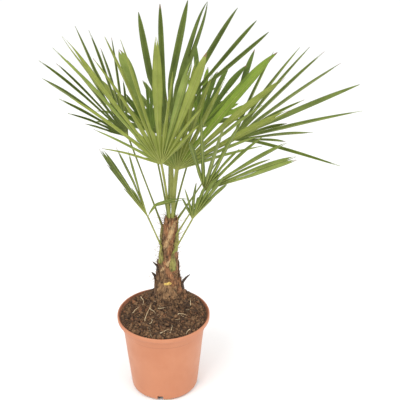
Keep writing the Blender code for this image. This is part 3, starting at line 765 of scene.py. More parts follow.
def trunkRadius(height):
    share = min(1.0, max(0.0, height / trunkTall))
    taper = (plant["footRadius"] - plant["headRadius"]) * (1 - share) ** plant["taperPower"]
    return plant["headRadius"] + taper + plant["rootFlare"] * math.exp(-share * 12)


def trunkPoint(height, turn, proud=0.0):
    ridge = 1 + plant["ridgeDepth"] * math.cos(plant["ridges"] * turn + 40 * height)
    out = Vector((math.cos(turn), math.sin(turn), 0))
    return trunkAxis(height) + out * (trunkRadius(height) * ridge + proud)


def trunkRelief(height, turn):
    # sheath edges that climb round the trunk, crossing strands and soft lumps
    t = trunkSizes
    across, back = math.cos(turn), math.sin(turn)
    wave = noise.noise(Vector((across * 1.5, back * 1.5, height * 30)))
    climb = height / trunkTall * t["sheaths"] + turn / math.tau * 2
    edge = t["sheathStep"] * (((climb + wave * 0.5) % 1.0) ** 4 - 0.3)
    around = turn * trunkRadius(height)
    strands = max(math.sin((around + height * slope) * often + wave * follow)
                  for slope, often, follow in t["strands"])
    lumps = noise.noise(Vector((across * 2.4, back * 2.4, height * 55 + 9))) * t["lumps"]
    return edge + strands * t["weave"] + lumps


def makeTrunkBody():
    template = tubeTemplate(trunkSizes["sides"], trunkSizes["rings"])

    def placeOf(x, y, z):
        height, turn = z * trunkTall, math.atan2(y, x)
        return trunkPoint(height, turn, trunkRelief(height, turn) - 0.0008)

    mesh = stampMesh("trunkBody", template, [placedBy(template, placeOf)])
    for polygon in mesh.polygons:
        level = polygon.center.z - plant["trunkFoot"].z + 0.02 * noise.noise(polygon.center * 60)
        polygon.material_index = 1 if level < trunkSizes["darkBelow"] else 0
    return mesh


def flapLayout(template, height, turn, spread, tall, lift, chance):
    # a tongue of old sheath that wraps part of the trunk and stands off at its point
    lean = chance.uniform(-0.5, 0.5)

    def placeOf(x, y, _):
        share = (y + 1) / 2
        narrowing = 1 - 0.85 * share ** 1.6
        at = turn + spread * (x * narrowing / 2 + lean * share)
        ragged = noise.noise(Vector((x * 3, share * 5, turn * 9 + height * 50))) * 0.0014 * share
        return trunkPoint(height + tall * share, at, 0.0006 + lift * share ** 2.2 + ragged)

    return placedBy(template, placeOf)


def bandLayout(template, start, end, width, proud):
    # a strip laid over the trunk between two places, each a turn in degrees and a height
    turned, climbed = math.radians(end[0] - start[0]), end[1] - start[1]

    def placeOf(x, y, _):
        share = (y + 1) / 2
        height = start[1] + climbed * share
        radius = trunkRadius(height)
        length = math.hypot(turned * radius, climbed)
        aside = x * width / 2 * (1 - 0.75 * abs(2 * share - 1) ** 3)
        turn = math.radians(start[0]) + turned * share + aside * climbed / length / radius
        return trunkPoint(height - aside * turned * radius / length, turn, 0.0005 + proud * (1 - x * x))

    return placedBy(template, placeOf)


def baseLayout(template, frond):
    # the sheath of a low petiole, which wraps the trunk and swells over the stalk's foot
    top, seat = trunkTall - frond["drop"] + 0.005, math.radians(frond["seat"])

    def placeOf(x, y, _):
        share = (y + 1) / 2
        half = (0.42 - 0.24 * smoothStep(0.3, 1.0, share)) * smoothStep(-0.35, 0.3, share)
        bulge = frond["stalk"] * 2.35 * smoothStep(0.0, 0.5, share) * (1 - abs(x) ** 2.2)
        height = top - trunkSizes["baseLength"] * (1 - share) - 0.006 * abs(x) * share
        return trunkPoint(height, seat + half * x, 0.0012 + bulge)

    return placedBy(template, placeOf)


def makeBases():
    template = gridTemplate(12, 16)
    low = [frond for frond in fronds.values() if frond["drop"] > 0.02]
    return stampMesh("leafBases", template, [baseLayout(template, frond) for frond in low])


def makeKnobs():
    # lumps and cut root ends round the trunk's foot
    t = trunkSizes
    chance = random.Random("knobs")
    template = chipTemplate()
    layouts, slots = [], []
    for number in range(t["knobs"]):
        turn = chance.uniform(0, math.tau)
        size = chance.uniform(*t["knobSize"])
        height, out = chance.uniform(-0.001, 0.004) + 0.026 * chance.random() ** 1.6, 0.0
        if number % 2:
            # soil that is heaped against the foot
            out = chance.uniform(0.0, t["heapWidth"])
            size, height = size * 1.35, t["heapHeight"] * (1 - out / t["heapWidth"]) * chance.random()
        if number < t["groupedKnobs"]:
            turn = math.radians(chance.uniform(*t["groupBearing"]))
            size, height, out = 0.0062, chance.uniform(0, 0.005), 0.003
        block = wobbleOf(pointsOf(template), 0.7, 1.2, chance)
        turned = turnedBy("ZX", chance.uniform(0, math.tau), chance.uniform(0, math.tau))
        stretch = np.array((1.0, chance.uniform(0.6, 1.0), chance.uniform(0.5, 0.9))) * size
        middle = trunkPoint(max(0.0, height), turn, out - size * 0.35)
        layouts.append((block * stretch) @ turned.T + np.array(middle))
        slots.append(chance.choice((0, 0, 0, 1, 2)))
    return stampMesh("rootKnobs", template, layouts, slots)


def makeFlaps():
    t = trunkSizes
    chance = random.Random("flaps")
    template = gridTemplate(8, 10)
    highest = trunkTall + 0.006
    layouts, slots = [], []
    for number in range(t["flaps"]):
        share = (number + chance.random()) / t["flaps"]
        tall = chance.uniform(0.022, 0.045)
        height = 0.006 + share * (trunkTall - 0.030)
        tall = min(tall, highest - height)
        # 2.399 is the golden angle, by which one sheath follows another
        turn = number * 2.399 + chance.uniform(-0.3, 0.3)
        spread, lift = chance.uniform(0.7, 1.5), chance.uniform(0.0005, 0.0028)
        layouts.append(flapLayout(template, height, turn, spread, tall, lift, chance))
        slots.append(chance.choice((0, 0, 1, 1, 2) if share > 0.35 else (0, 1, 4, 4)))
    for turn, height, tall, lift in t["points"]:
        layouts.append(flapLayout(template, height, math.radians(turn), 1.1, tall, lift, chance))
        slots.append(1)
    for *place, slot in t["bands"]:
        layouts.append(bandLayout(template, *place))
        slots.append(slot)
    return stampMesh("sheathFlaps", template, layouts, slots)


def makeHairs():
    t = trunkSizes
    chance = random.Random("hairs")
    template = tubeTemplate(3, 5)
    shares = [k / t["hairSteps"] for k in range(t["hairSteps"] + 1)]
    layouts, slots = [], []
    for number in range(t["hairs"] + t["longHairs"]):
        wild = number >= t["hairs"]
        height = trunkTall * chance.random() ** (0.55 if wild else 0.85)
        turn = chance.uniform(0, math.tau)
        length = chance.uniform(0.012, 0.024) if wild else chance.uniform(0.004, 0.012)
        out = Vector((math.cos(turn), math.sin(turn), 0))
        level = Vector((-out.y, out.x, 0))
        stand = chance.uniform(0.2, 0.8) if wild else chance.uniform(0.02, 0.35)
        heading = out * stand + level * chance.gauss(0, 0.7) + Vector((0, 0, chance.gauss(0.5, 0.7)))
        heading.normalize()
        spring = 0.55 if wild else 0.2
        curl = Vector((chance.gauss(0, spring), chance.gauss(0, spring), chance.gauss(-0.1, spring)))
        start = trunkPoint(height, turn, -0.0005)
        path = [start + heading * length * share + curl * length * share ** 2 for share in shares]
        path = [Vector((p.x, p.y, max(p.z, t["hairFloor"]))) for p in path]
        thick = chance.uniform(0.00022, 0.00042)
        layouts.append(tubeLayout(template, path, [thick * (1 - 0.6 * share) for share in shares]))
        slots.append(chance.choice((0, 1, 1, 2)))
    return stampMesh("trunkHairs", template, layouts, slots)


def makeTrunk():
    brown, red, tan, scar, dark, olive = (effectMaterial(name, "strands", tones, 0.88, 0.0008)
                                          for name, tones in fibreColours.items())
    addPiece("trunkBody", makeTrunkBody(), [brown, dark], ["trunk"], 60)
    flaps = addPiece("sheathFlaps", makeFlaps(), [brown, red, tan, scar, dark], smooth=60)
    bases = addPiece("leafBases", makeBases(), [olive], smooth=60)
    for piece in (flaps, bases):
        thicken(piece, trunkSizes["sheetThickness"])
    knobMaterials = [soilMaterials["soilDark"], soilMaterials["barkBrown"], dark]
    addPiece("rootKnobs", makeKnobs(), knobMaterials)
    addPiece("trunkHairs", makeHairs(), [brown, red, tan])
    print("palm: trunk and its fibres")


# the fronds

fanRule = {
    "freeFrom": 0.3,
    "gap": 0.2,
    "tipHalf": 0.0006,
    "sagStrength": 3,
    "pleat": 32,
    "rows": 26,
    "columns": 3,
    "thickness": 0.0006,
    "headSeatRadius": 0.0078,
    "headSeatRises": (-0.004, 0.010),
    "bow": 0.12,
    "sheathLength": 0.040,
    "sheathSwell": 1.35,
    "stalkTaper": 0.72,
    "short": 0.3,
    "fall": 4.5,
    "extraStep": 0.14,
    # by how much a leaflet that leaves the box is shortened at a time
    "shrink": 0.992,
    # how far leaflets differ: the spread of their twist, swing and kink in degrees, and where tips split or dry
    "twist": 14,
    "swing": 1.5,
    "kink": 2.2,
    "splits": (0, 0.86, 0.9, 0.93),
    "splitGap": 0.85,
    "dryTip": 0.055,
    # radius of a leaflet's rib on short and long fronds, and how far it stands under the leaflet
    "ribRadii": (0.0008, 0.0010),
    "longFrom": 0.25,
    "ribDepth": 0.0004,
    "ribStop": 0.93,
    "stalkSteps": 24,
    # how far past the hub, and how far under the blade, the stalk's last points are
    "stalkEnd": ((0.006, 0.0012), (0.014, 0.0018)),
    "stalkFlatness": 0.72,
    # the stalk's teeth: first step that has them, how many to a step and side, how far each sticks out
    "teethFrom": 6,
    "teethPerStep": 2,
    "toothOut": 0.0009,
    "toothAhead": 0.0006,
    "toothRadii": (0.00045, 0.00008),
}
# what a frond has where its own row says nothing else
frondUsual = {
    "drop": 0,
    "fold": 0,
    "sag": 0.03,
    "joined": 0.2,
    "waist": 1,
    "stalk": 0.0028,
    "stalkWide": 1,
    "vee": (48, 62),
    "blunt": (1.8, 3.4),
    "stalkTone": "stalkPale",
    "own": (),
    "looks": {},
}
# own is each leaflet's turn, length and half width; those past the number of ribs are extra ones
fronds = {
    "front_left": {
        "out": 0.048, "around": 250, "up": 0.147, "seat": 240, "leanTo": 255, "lean": 15,
        "spread": (-78, 42), "ribs": 14, "reach": 0.345, "joined": 0.23,
        "stalk": 0.0036, "widest": 0.0085, "vee": (50, 64),
        "tones": ("midUpper", "paleUnder", "warmUnder"),
        "own": ((-75, 0.38, 0.003), (-59, 0.46, 0.0036), (-47, 0.68, 0.0054), (-34.5, 0.96, 0.0078),
                (-30, 0.99, 0.0112), (-22, 0.8, 0.0056), (-14.5, 0.91, 0.0062), (-10, 0.88, 0.0055),
                (2, 0.91, 0.01), (10, 0.7, 0.005), (17, 0.81, 0.008), (23, 0.9, 0.0115), (30, 0.55, 0.005),
                (38, 0.42, 0.0042)),
        "looks": {0: {"joined": 0.1}, 1: {"joined": 0.1}, 2: {"joined": 0.13}, 3: {"vee": 40},
                  4: {"vee": 28, "splitAt": 0.8, "blunt": 3}, 8: {"vee": 12, "blunt": 3.4, "twist": 0},
                  10: {"vee": 20, "blunt": 6, "kind": ("paleUnder", "midUpper")},
                  11: {"vee": 10, "blunt": 3.6, "twist": 0, "kind": ("warmUnder", "midUpper")}},
    },
    "front_right": {
        "out": 0.03, "around": 300, "up": 0.125, "seat": 300, "leanTo": 270, "lean": 10,
        "spread": (-8, 72), "ribs": 11, "reach": 0.33, "joined": 0.19,
        "stalk": 0.0037, "stalkWide": 1.6, "widest": 0.0085,
        "tones": ("midUpper", "warmUnder", "paleUnder"),
        "own": ((-5, 0.55, 0.006), (3, 0.66, 0.0066), (11, 0.82, 0.009), (18, 0.74, 0.0074),
                (25, 0.74, 0.0076), (33, 1, 0.0085), (41, 0.95, 0.0082), (47, 0.72, 0.0068),
                (55, 0.83, 0.0088), (62, 0.56, 0.0058), (69, 0.57, 0.005), (-15, 0.5, 0.0062),
                (-28, 0.42, 0.0062), (-41, 0.36, 0.0062), (-54, 0.3, 0.006)),
        "looks": {2: {"vee": 30, "blunt": 6},
                  5: {"vee": 8, "blunt": 4, "twist": 0, "kind": ("freshUpper", "midUpper")},
                  6: {"vee": 20, "blunt": 3}, 8: {"vee": 15, "blunt": 4}},
    },
    "upright_back": {
        "out": 0.03, "around": 90, "up": 0.18, "seat": 60, "leanTo": 80, "lean": 15, "spread": (-44, 22),
        "ribs": 7, "reach": 0.305, "sag": 0, "stalk": 0.0037,
        "stalkWide": 1.7, "widest": 0.0095, "waist": 0.42, "vee": (28, 42), "blunt": (4.5, 7.5),
        "tones": ("deepUpper", "deepUpper", "midUpper"),
        "own": ((-32, 1, 0.0052), (-28.5, 1, 0.0078), (-21, 1, 0.007), (-8.5, 0.99, 0.0108),
                (1.5, 0.95, 0.0074), (10.5, 0.91, 0.007), (21, 0.88, 0.008)),
        "looks": {0: {"kinkAt": 0.5, "kink": -15, "twist": 10, "swing": 0, "splitAt": 0},
                  1: {"kinkAt": 0.5, "kink": -10, "swing": 0, "splitAt": 0},
                  2: {"kinkAt": 0.52, "kink": -8, "swing": 0, "splitAt": 0},
                  3: {"splitAt": 0.62, "splitGap": 0.42, "vee": 26, "blunt": 6, "kinkAt": 0.48, "kink": -8,
                      "swing": 0, "twist": 0},
                  4: {"kinkAt": 0.47, "kink": -11, "swing": 0, "twist": 0, "splitAt": 0},
                  5: {"kinkAt": 0.45, "kink": -6, "swing": 0, "splitAt": 0},
                  6: {"kinkAt": 0.55, "kink": -8, "swing": 0, "twist": 0, "splitAt": 0}},
    },
    "left": {
        "out": 0.09, "around": 170, "up": 0.183, "seat": 170, "drop": 0.03, "leanTo": 140, "lean": 35,
        "spread": (-30, 60), "ribs": 13, "reach": 0.262, "joined": 0.16,
        "sag": 0.02, "widest": 0.006, "vee": (55, 66), "blunt": (2.0, 3.8),
        "tones": ("deepUpper", "greyUnder", "greyUnder"), "stalkTone": "stalkGreen",
        "own": ((-26, 0.5, 0.0052), (-18, 0.88, 0.0052), (-12, 0.78, 0.0052), (-7, 0.94, 0.0064),
                (1.2, 1, 0.007), (8, 0.7, 0.0066), (15, 0.78, 0.006), (22, 0.82, 0.0066),
                (26.8, 0.95, 0.0078), (36, 0.85, 0.0072), (42.6, 0.67, 0.006), (49.3, 0.57, 0.005),
                (56, 0.41, 0.004)),
    },
    "low_left": {
        "out": 0.06, "around": 215, "up": 0.018, "seat": 215, "drop": 0.073, "leanTo": 262, "lean": 20,
        "spread": (-35, -7), "ribs": 7, "reach": 0.2, "fold": 25, "sag": 0.02,
        "stalk": 0.0026, "widest": 0.005, "vee": (25, 45), "blunt": (1.8, 3.2),
        "tones": ("deepUpper", "midUpper", "deepUpper"),
        "own": ((-31, 0.45, 0.0022), (-28, 0.82, 0.0038), (-24, 1.06, 0.0062), (-20, 1.04, 0.0072),
                (-16.5, 0.45, 0.0022), (-12, 1, 0.0032), (-9, 0.9, 0.0032), (36, 0.53, 0.0075)),
        "looks": {2: {"vee": 22}, 3: {"blunt": 6, "vee": 22},
                  7: {"joined": 0.03, "vee": 15, "kinkAt": 0.5, "kink": 42, "splitAt": 0.6, "twist": 0,
                      "swing": 16, "blunt": 1.3}},
    },
    "low_right": {
        "out": 0.105, "around": 314, "up": 0.101, "seat": 335, "drop": 0.043, "leanTo": 270, "lean": 20,
        "spread": (-15, 68), "ribs": 10, "reach": 0.225, "stalk": 0.0026, "widest": 0.0062,
        "blunt": (1.8, 3.2), "tones": ("deepUpper", "midUpper", "greyUnder"),
        "own": ((-11, 0.66), (-2.5, 0.94), (11, 0.89), (20, 0.91), (27, 0.62), (34.5, 0.87),
                (46.5, 0.95, 0.008), (52, 0.72), (58, 0.93, 0.0085), (64, 0.92, 0.0085)),
        "looks": {0: {"blunt": 6}, 6: {"vee": 25, "blunt": 3, "twist": 0},
                  8: {"vee": 18, "blunt": 4, "twist": 0, "kind": ("midUpper", "deepUpper")},
                  9: {"vee": 18, "blunt": 4, "twist": 0, "kind": ("paleUnder", "midUpper")}},
    },
    "lowest_right": {
        "out": 0.081, "around": 306, "up": 0.028, "seat": 300, "drop": 0.086, "leanTo": 275, "lean": 20,
        "spread": (-22, 42), "ribs": 7, "reach": 0.17, "stalk": 0.0024,
        "widest": 0.0052, "vee": (40, 58), "blunt": (1.6, 3.0),
        "tones": ("deepUpper", "midUpper", "deepUpper"),
        "own": ((-18, 0.42, 0.0026), (-8, 0.58, 0.0026), (1, 0.67, 0.003), (13, 0.6, 0.0062),
                (19, 0.8, 0.0075), (25, 0.85, 0.008), (31, 0.74, 0.0068)),
        "looks": {3: {"joined": 0.4, "vee": 25}, 4: {"joined": 0.42, "vee": 20},
                  5: {"joined": 0.42, "vee": 20}, 6: {"joined": 0.4, "vee": 25}},
    },
    "right": {
        "out": 0.141, "around": 19, "up": 0.163, "seat": 15, "drop": 0.01, "leanTo": 20, "lean": 60,
        "spread": (-74, 50), "ribs": 12, "reach": 0.325, "joined": 0.12, "sag": 0.02,
        "widest": 0.0062, "vee": (50, 62), "blunt": (2.0, 3.6),
        "tones": ("midUpper", "paleUnder", "greyUnder"), "stalkTone": "stalkGreen",
        "own": ((-61.5, 0.97, 0.0045), (-55, 0.45), (-49, 0.62), (-40, 0.92), (-31, 0.4),
                (-20.5, 0.91, 0.0098), (-8, 0.55), (2, 0.91), (17, 0.96), (28, 1), (34.5, 1), (45, 1)),
        "looks": {0: {"vee": 45, "kinkAt": 0.4, "kink": -8, "swing": 0},
                  5: {"vee": 12, "blunt": 3.5, "twist": 0}},
    },
    "back_right": {
        "out": 0.106, "around": 53, "up": 0.175, "seat": 0, "leanTo": 55, "lean": 45, "spread": (-50, 40),
        "ribs": 10, "reach": 0.24, "joined": 0.28, "sag": 0.06, "stalk": 0.0033, "widest": 0.009,
        "vee": (15, 40), "blunt": (2.0, 3.8), "tones": ("freshUpper", "paleUnder", "warmUnder"),
        "stalkTone": "stalkGreen",
        "own": ((-47, 0.5, 0.008), (-38, 0.42, 0.005), (-28, 1.03, 0.0075), (-21.5, 1, 0.011),
                (-11, 0.74, 0.0085), (1.3, 0.66, 0.0085), (10, 0.6, 0.008), (19, 0.66, 0.008),
                (28, 1, 0.0066), (36, 0.6, 0.008)),
        "looks": {0: {"vee": 12, "blunt": 6, "twist": 0},
                  2: {"vee": 22, "kinkAt": 0.5, "kink": 41, "swing": 0, "bendAt": 0.4, "bend": 8,
                      "kind": ("deepUpper", "freshDeep")},
                  3: {"vee": 16, "blunt": 3.6, "twist": 0, "swing": 0, "kink": 0},
                  4: {"kind": ("midUpper", "freshDeep")}, 5: {"kind": ("midUpper", "freshDeep")},
                  6: {"kind": ("midUpper", "freshDeep")}, 8: {"kind": ("midUpper", "freshDeep")}},
    },
    "back_left": {
        "out": 0.088, "around": 120, "up": 0.165, "seat": 180, "leanTo": 125, "lean": 45,
        "spread": (-45, 40), "ribs": 9, "reach": 0.22, "joined": 0.28, "sag": 0.06, "stalk": 0.0033,
        "widest": 0.009, "vee": (15, 40), "blunt": (2.0, 3.8),
        "tones": ("freshDeep", "paleUnder", "warmUnder"), "stalkTone": "stalkGreen",
        "own": ((-42, 0.42, 0.006), (-34, 0.5, 0.006), (-26, 0.55, 0.0075), (-20, 0.6, 0.006),
                (-5.5, 1, 0.018), (8, 0.5, 0.006), (12, 0.5, 0.006), (22.5, 0.8, 0.0165), (35, 0.5, 0.006)),
        "looks": {
                  4: {"vee": 14, "blunt": 3.6, "twist": 0, "swing": 0, "kink": 0,
                      "kind": ("paleUnder", "lightUpper")},
                  7: {"vee": 10, "blunt": 8, "twist": 0, "kind": ("paleUnder", "warmUnder")}},
    },
    "back": {
        "out": 0.14, "around": 92, "up": 0.13, "seat": 120, "leanTo": 92, "lean": 70, "spread": (-70, 70),
        "ribs": 14, "reach": 0.25, "joined": 0.33, "sag": 0.1, "stalk": 0.0033, "widest": 0.008,
        "vee": (35, 55), "tones": ("midUpper", "paleUnder", "greyUnder"), "stalkTone": "stalkGreen",
    },
}
fronds = {name: {**frondUsual, **given} for name, given in fronds.items()}


def hubOf(frond):
    return plant["trunkHead"] + bearing(frond["around"], frond["out"]) + Vector((0, 0, frond["up"]))


def fanAxes(frond):
    lean = math.radians(frond["lean"])
    out = bearing(frond["leanTo"])
    upward = out * math.sin(lean) + Vector((0, 0, math.cos(lean)))
    level = Vector((-out.y, out.x, 0))
    inner = upward.cross(level)
    middle = math.radians(sum(frond["spread"]) / 2)
    return (upward * math.cos(middle) + level * math.sin(middle),
            level * math.cos(middle) - upward * math.sin(middle), inner)


def ribDirections(frond, turn):
    # a rib's direction, its width's direction and its upper side
    middle, across, inner = fanAxes(frond)
    fold = math.radians(frond["fold"]) * (1 if turn >= 0 else -1)
    side = across * math.cos(fold) + inner * math.sin(fold)
    along = middle * math.cos(turn) + side * math.sin(turn)
    width = side * math.cos(turn) - middle * math.sin(turn)
    return along, width, along.cross(width)


def ribTurns(frond, chance):
    first, last = frond["spread"]
    step = (last - first) / frond["ribs"]
    middle = (first + last) / 2
    ribs = []
    for k in range(frond["ribs"]):
        even = first + (k + 0.5 + chance.uniform(-0.14, 0.14)) * step
        ribs.append((frond["own"][k][0] if frond["own"] else even) - middle)
    between = [(one + two) / 2 for one, two in zip(ribs, ribs[1:])]
    margins = [ribs[0] - step / 2, *between, ribs[-1] + step / 2]
    return [math.radians(t) for t in ribs], [math.radians(t) for t in margins]


def leafletLength(frond, number, chance):
    place = 2 * (number + 0.5) / frond["ribs"] - 1
    even = (1 - fanRule["short"] * abs(place) ** fanRule["fall"]) * chance.uniform(0.94, 1.0)
    return frond["reach"] * (frond["own"][number][1] if frond["own"] else even)


def widestHalf(frond, number):
    own = frond["own"][number] if frond["own"] else ()
    return own[2] if len(own) == 3 else frond["widest"]


def pleatDepth(frond, distance):
    step = math.radians(frond["spread"][1] - frond["spread"][0]) / frond["ribs"]
    return distance * step / 4 * math.tan(math.radians(fanRule["pleat"]))


def leafletRows(frond, turn, margins, length, look):
    # rows from hub to tip: (rib point, left edge, right edge, centre gap share)
    hub = hubOf(frond)
    joined = frond["reach"] * look["joined"]
    pleat = math.radians(fanRule["pleat"])
    along, _, upper = ribDirections(frond, turn)
    left, right = (ribDirections(frond, margin) for margin in margins)
    halfStep = min(turn - margins[0], margins[1] - turn)
    rows = []
    place, travelled = hub + along * joined, joined
    count = fanRule["rows"]
    for k in range(count + 1):
        distance = length * (k / count) ** 0.92
        if distance <= joined:
            depth = pleatDepth(frond, distance)
            rows.append((hub + along * distance - upper * depth, hub + left[0] * distance + left[2] * depth,
                         hub + right[0] * distance + right[2] * depth, 0.0))
            continue
        share = fanRule["freeFrom"] + (1 - fanRule["freeFrom"]) * (distance - joined) / (length - joined)
        free = (distance - joined) / (length - joined)
        kink = look["kink"] * smoothStep(look["kinkAt"] - 0.03, look["kinkAt"] + 0.03, share)
        heading, side, _ = ribDirections(frond, turn + look["swing"] * free + kink)
        heading = heading + Vector((0, 0, -fanRule["sagStrength"] * frond["sag"] * min(1.0, share + 0.1) ** 2))
        heading.normalize()
        top = heading.cross(side).normalized()
        if look["bendAt"] and share > look["bendAt"]:
            bent = look["bend"] * smoothStep(look["bendAt"], look["bendAt"] + 0.06, share)
            folded = Matrix.Rotation(bent, 3, side)
            heading, top = folded @ heading, folded @ top
        twist = Matrix.Rotation(look["twist"] * free, 3, heading)
        side, top = twist @ side, twist @ top
        place = place + heading * (distance - travelled)
        travelled = distance
        full = distance * math.tan(halfStep)
        opening = 1 - fanRule["gap"] * smoothStep(0.0, 0.25, free)
        taper = 1 - max(0.0, (share - 0.5) / 0.5) ** look["blunt"] if share > 0.5 else 1.0
        past = smoothStep(look["kinkAt"] - 0.25, look["kinkAt"] + 0.05, share)
        narrow = look["waist"] + (1 - look["waist"]) * past
        wide = full + (min(full * opening, look["wide"]) * narrow - full) * smoothStep(0.0, 0.24, free)
        half = wide * taper + fanRule["tipHalf"]
        vee = pleat + (look["vee"] - pleat) * smoothStep(0.0, 0.35, free)
        lift, aside = top * (half * math.sin(vee)), side * (half * math.cos(vee))
        centre = place - top * (pleatDepth(frond, joined) * (1 - free))
        split = smoothStep(look["splitAt"], 1.0, share) if look["splitAt"] else 0.0
        rows.append((centre, centre - aside + lift, centre + aside + lift, split * look["splitGap"]))
    return rows


def leafletLayouts(template, rows):
    # the left and right halves of a leaflet, which meet along its rib except past a split tip
    local = pointsOf(template)
    columns = (local[:, 0] + 1) / 2
    index = np.rint((local[:, 1] + 1) / 2 * fanRule["rows"]).astype(int)
    rib = np.array([r[0] for r in rows])[index]
    gap = np.array([r[3] for r in rows])[index]
    halves = []
    for sideNumber, reach in ((1, 1 - columns), (2, columns)):
        edge = np.array([r[sideNumber] for r in rows])[index]
        halves.append(rib + (edge - rib) * (gap + (1 - gap) * reach)[:, None])
    return halves


def insideBox(rows):
    # whether a leaflet, with room for its thickness, stays in the box of the CAD solids
    spread = np.array([row[column] for row in rows for column in range(3)])
    low, high = (np.array(corner) for corner in cadBox)
    return bool((spread > low + fanRule["thickness"]).all() and (spread < high - fanRule["thickness"]).all())


def makeBlade(name, frond, templates):
    chance = random.Random(name)
    looks = random.Random(name + " looks")
    angles = ("vee", "twist", "swing", "bend", "kink")
    turns, margins = ribTurns(frond, chance)
    pairs = list(zip(margins, margins[1:]))
    middle = sum(frond["spread"]) / 2
    for extraTurn, *_ in frond["own"][frond["ribs"]:]:
        turns.append(math.radians(extraTurn - middle))
        pairs.append((turns[-1] - fanRule["extraStep"], turns[-1] + fanRule["extraStep"]))
    kinds = [(under, frond["tones"][0]) for under in frond["tones"][1:]]
    kinds += [look["kind"] for look in frond["looks"].values() if "kind" in look]
    kinds.append(("dryTip", "dryTip"))
    layouts, slots, ribs = [], [], []
    rowOfFace = np.array([polygon.center.y for polygon in templates["half"].polygons])
    for number, turn in enumerate(turns):
        length = leafletLength(frond, number, chance)
        look = {
            "vee": math.radians(looks.uniform(*frond["vee"])),
            "twist": math.radians(looks.gauss(0, fanRule["twist"])),
            "swing": math.radians(looks.gauss(0, fanRule["swing"])),
            "blunt": looks.uniform(*frond["blunt"]),
            "splitAt": looks.choice(fanRule["splits"]),
            "splitGap": fanRule["splitGap"],
            "wide": widestHalf(frond, number) * looks.uniform(0.9, 1.1),
            "kind": kinds[looks.randrange(2)],
            "joined": frond["joined"],
            "waist": frond["waist"],
            "bendAt": 0,
            "bend": 0,
            "kinkAt": looks.uniform(0.4, 0.7),
            "kink": math.radians(looks.gauss(0, fanRule["kink"])),
        }
        own = frond["looks"].get(number, {})
        look.update({key: math.radians(value) if key in angles else value for key, value in own.items()})
        rows = leafletRows(frond, turn, pairs[number], length, look)
        while not insideBox(rows):
            length *= fanRule["shrink"]
            rows = leafletRows(frond, turn, pairs[number], length, look)
        dryFrom = 1 - looks.uniform(0.0, fanRule["dryTip"])
        faces = np.where(rowOfFace > dryFrom, 2 * len(kinds) - 2, 2 * kinds.index(look["kind"]))
        for layout in leafletLayouts(templates["half"], rows):
            layouts.append(layout)
            slots.append(faces)
        under = []
        for centre, leftEdge, rightEdge, split in rows:
            # past a split the rib runs on along the left half
            rise = leftEdge + rightEdge - 2 * centre
            place = centre + (leftEdge - centre) * split
            under.append(place - rise.normalized() * fanRule["ribDepth"] if rise.length > 1e-7 else place)
        thick = fanRule["ribRadii"][frond["reach"] > fanRule["longFrom"]]
        widths = [thick * (1 - 0.8 * k / len(rows)) for k in range(len(rows))]
        stop = int(len(rows) * fanRule["ribStop"])
        ribs.append(tubeLayout(templates["rib"], under[:stop], widths[:stop]))
    mesh = stampMesh("blade_" + name, templates["half"], layouts, slots)
    mergePoints(mesh)
    materials = [leafMaterials[tone] for kind in kinds for tone in kind]
    piece = addPiece("leaflets_" + name, mesh, materials, ["blade_" + name], 28)
    thicken(piece, fanRule["thickness"], 1)
    return ribs


def petiolePath(frond):
    # the part's own line for the stalk, with more points
    if frond["drop"]:
        points = []
        for share in (0, 0.25, 0.5, 0.75, 1):
            height = trunkTall - frond["drop"] - fanRule["sheathLength"] * (1 - share)
            away = trunkRadius(height) * 1.02 + frond["stalk"] * 0.9
            points.append(trunkAxis(height) + bearing(frond["seat"], away))
    else:
        seat = plant["trunkHead"] + bearing(frond["seat"], fanRule["headSeatRadius"])
        points = [seat + Vector((0, 0, rise)) for rise in fanRule["headSeatRises"]]
    start, hub = points[-1], hubOf(frond)
    bow = 0.0 if frond["drop"] else fanRule["bow"] * (hub - start).length
    bend = start.lerp(hub, 0.5) + Vector((0, 0, bow))
    for k in range(1, fanRule["stalkSteps"] + 1):
        share = k / fanRule["stalkSteps"]
        points.append(start * (1 - share) ** 2 + bend * 2 * share * (1 - share) + hub * share ** 2)
    middle, _, inner = fanAxes(frond)
    return points + [hub + middle * ahead - inner * under for ahead, under in fanRule["stalkEnd"]]


def makePetiole(name, frond, templates):
    path = petiolePath(frond)
    _, across, _ = fanAxes(frond)
    seatSide = Vector((-bearing(frond["seat"]).y, bearing(frond["seat"]).x, 0))
    if seatSide.dot(across) < 0:
        seatSide = -seatSide
    sideways, radii = [], []
    for number in range(len(path)):
        share = number / (len(path) - 1)
        sideways.append(seatSide.lerp(across, smoothStep(0.1, 0.8, share)))
        swell = fanRule["sheathSwell"] if frond["drop"] else 1.0
        foot = 1 - smoothStep(0, 0.55, share)
        width = frond["stalk"] * (fanRule["stalkTaper"] + (swell - fanRule["stalkTaper"]) * foot)
        width *= 1 + (frond["stalkWide"] - 1) * smoothStep(0.04, 0.25, share)
        radii.append(width * (1 - 0.8 * smoothStep(0.93, 1.0, share)))
    layout = tubeLayout(templates["stalk"], path, radii, sideways, fanRule["stalkFlatness"])
    chance = random.Random(name + " teeth")
    teeth = []
    for number in range(fanRule["teethFrom"], len(path) - 3):
        for hand in (-1, 1):
            for _ in range(fanRule["teethPerStep"]):
                share = number + chance.random()
                low = int(share)
                at = Vector(path[low]).lerp(Vector(path[low + 1]), share - low)
                ahead = (Vector(path[low + 1]) - Vector(path[low])).normalized()
                side = (Vector(sideways[low]) - ahead * Vector(sideways[low]).dot(ahead)).normalized() * hand
                base = at + side * radii[low] * 0.86
                tip = base + side * fanRule["toothOut"] + ahead * fanRule["toothAhead"]
                teeth.append(tubeLayout(templates["tooth"], [base, tip], fanRule["toothRadii"]))
    mesh = stampMesh("stalk_" + name, templates["stalk"], [layout])
    materials = [leafMaterials[frond["stalkTone"]]]
    addPiece("stalk_" + name, mesh, materials, ["petiole_" + name], 60)
    return teeth


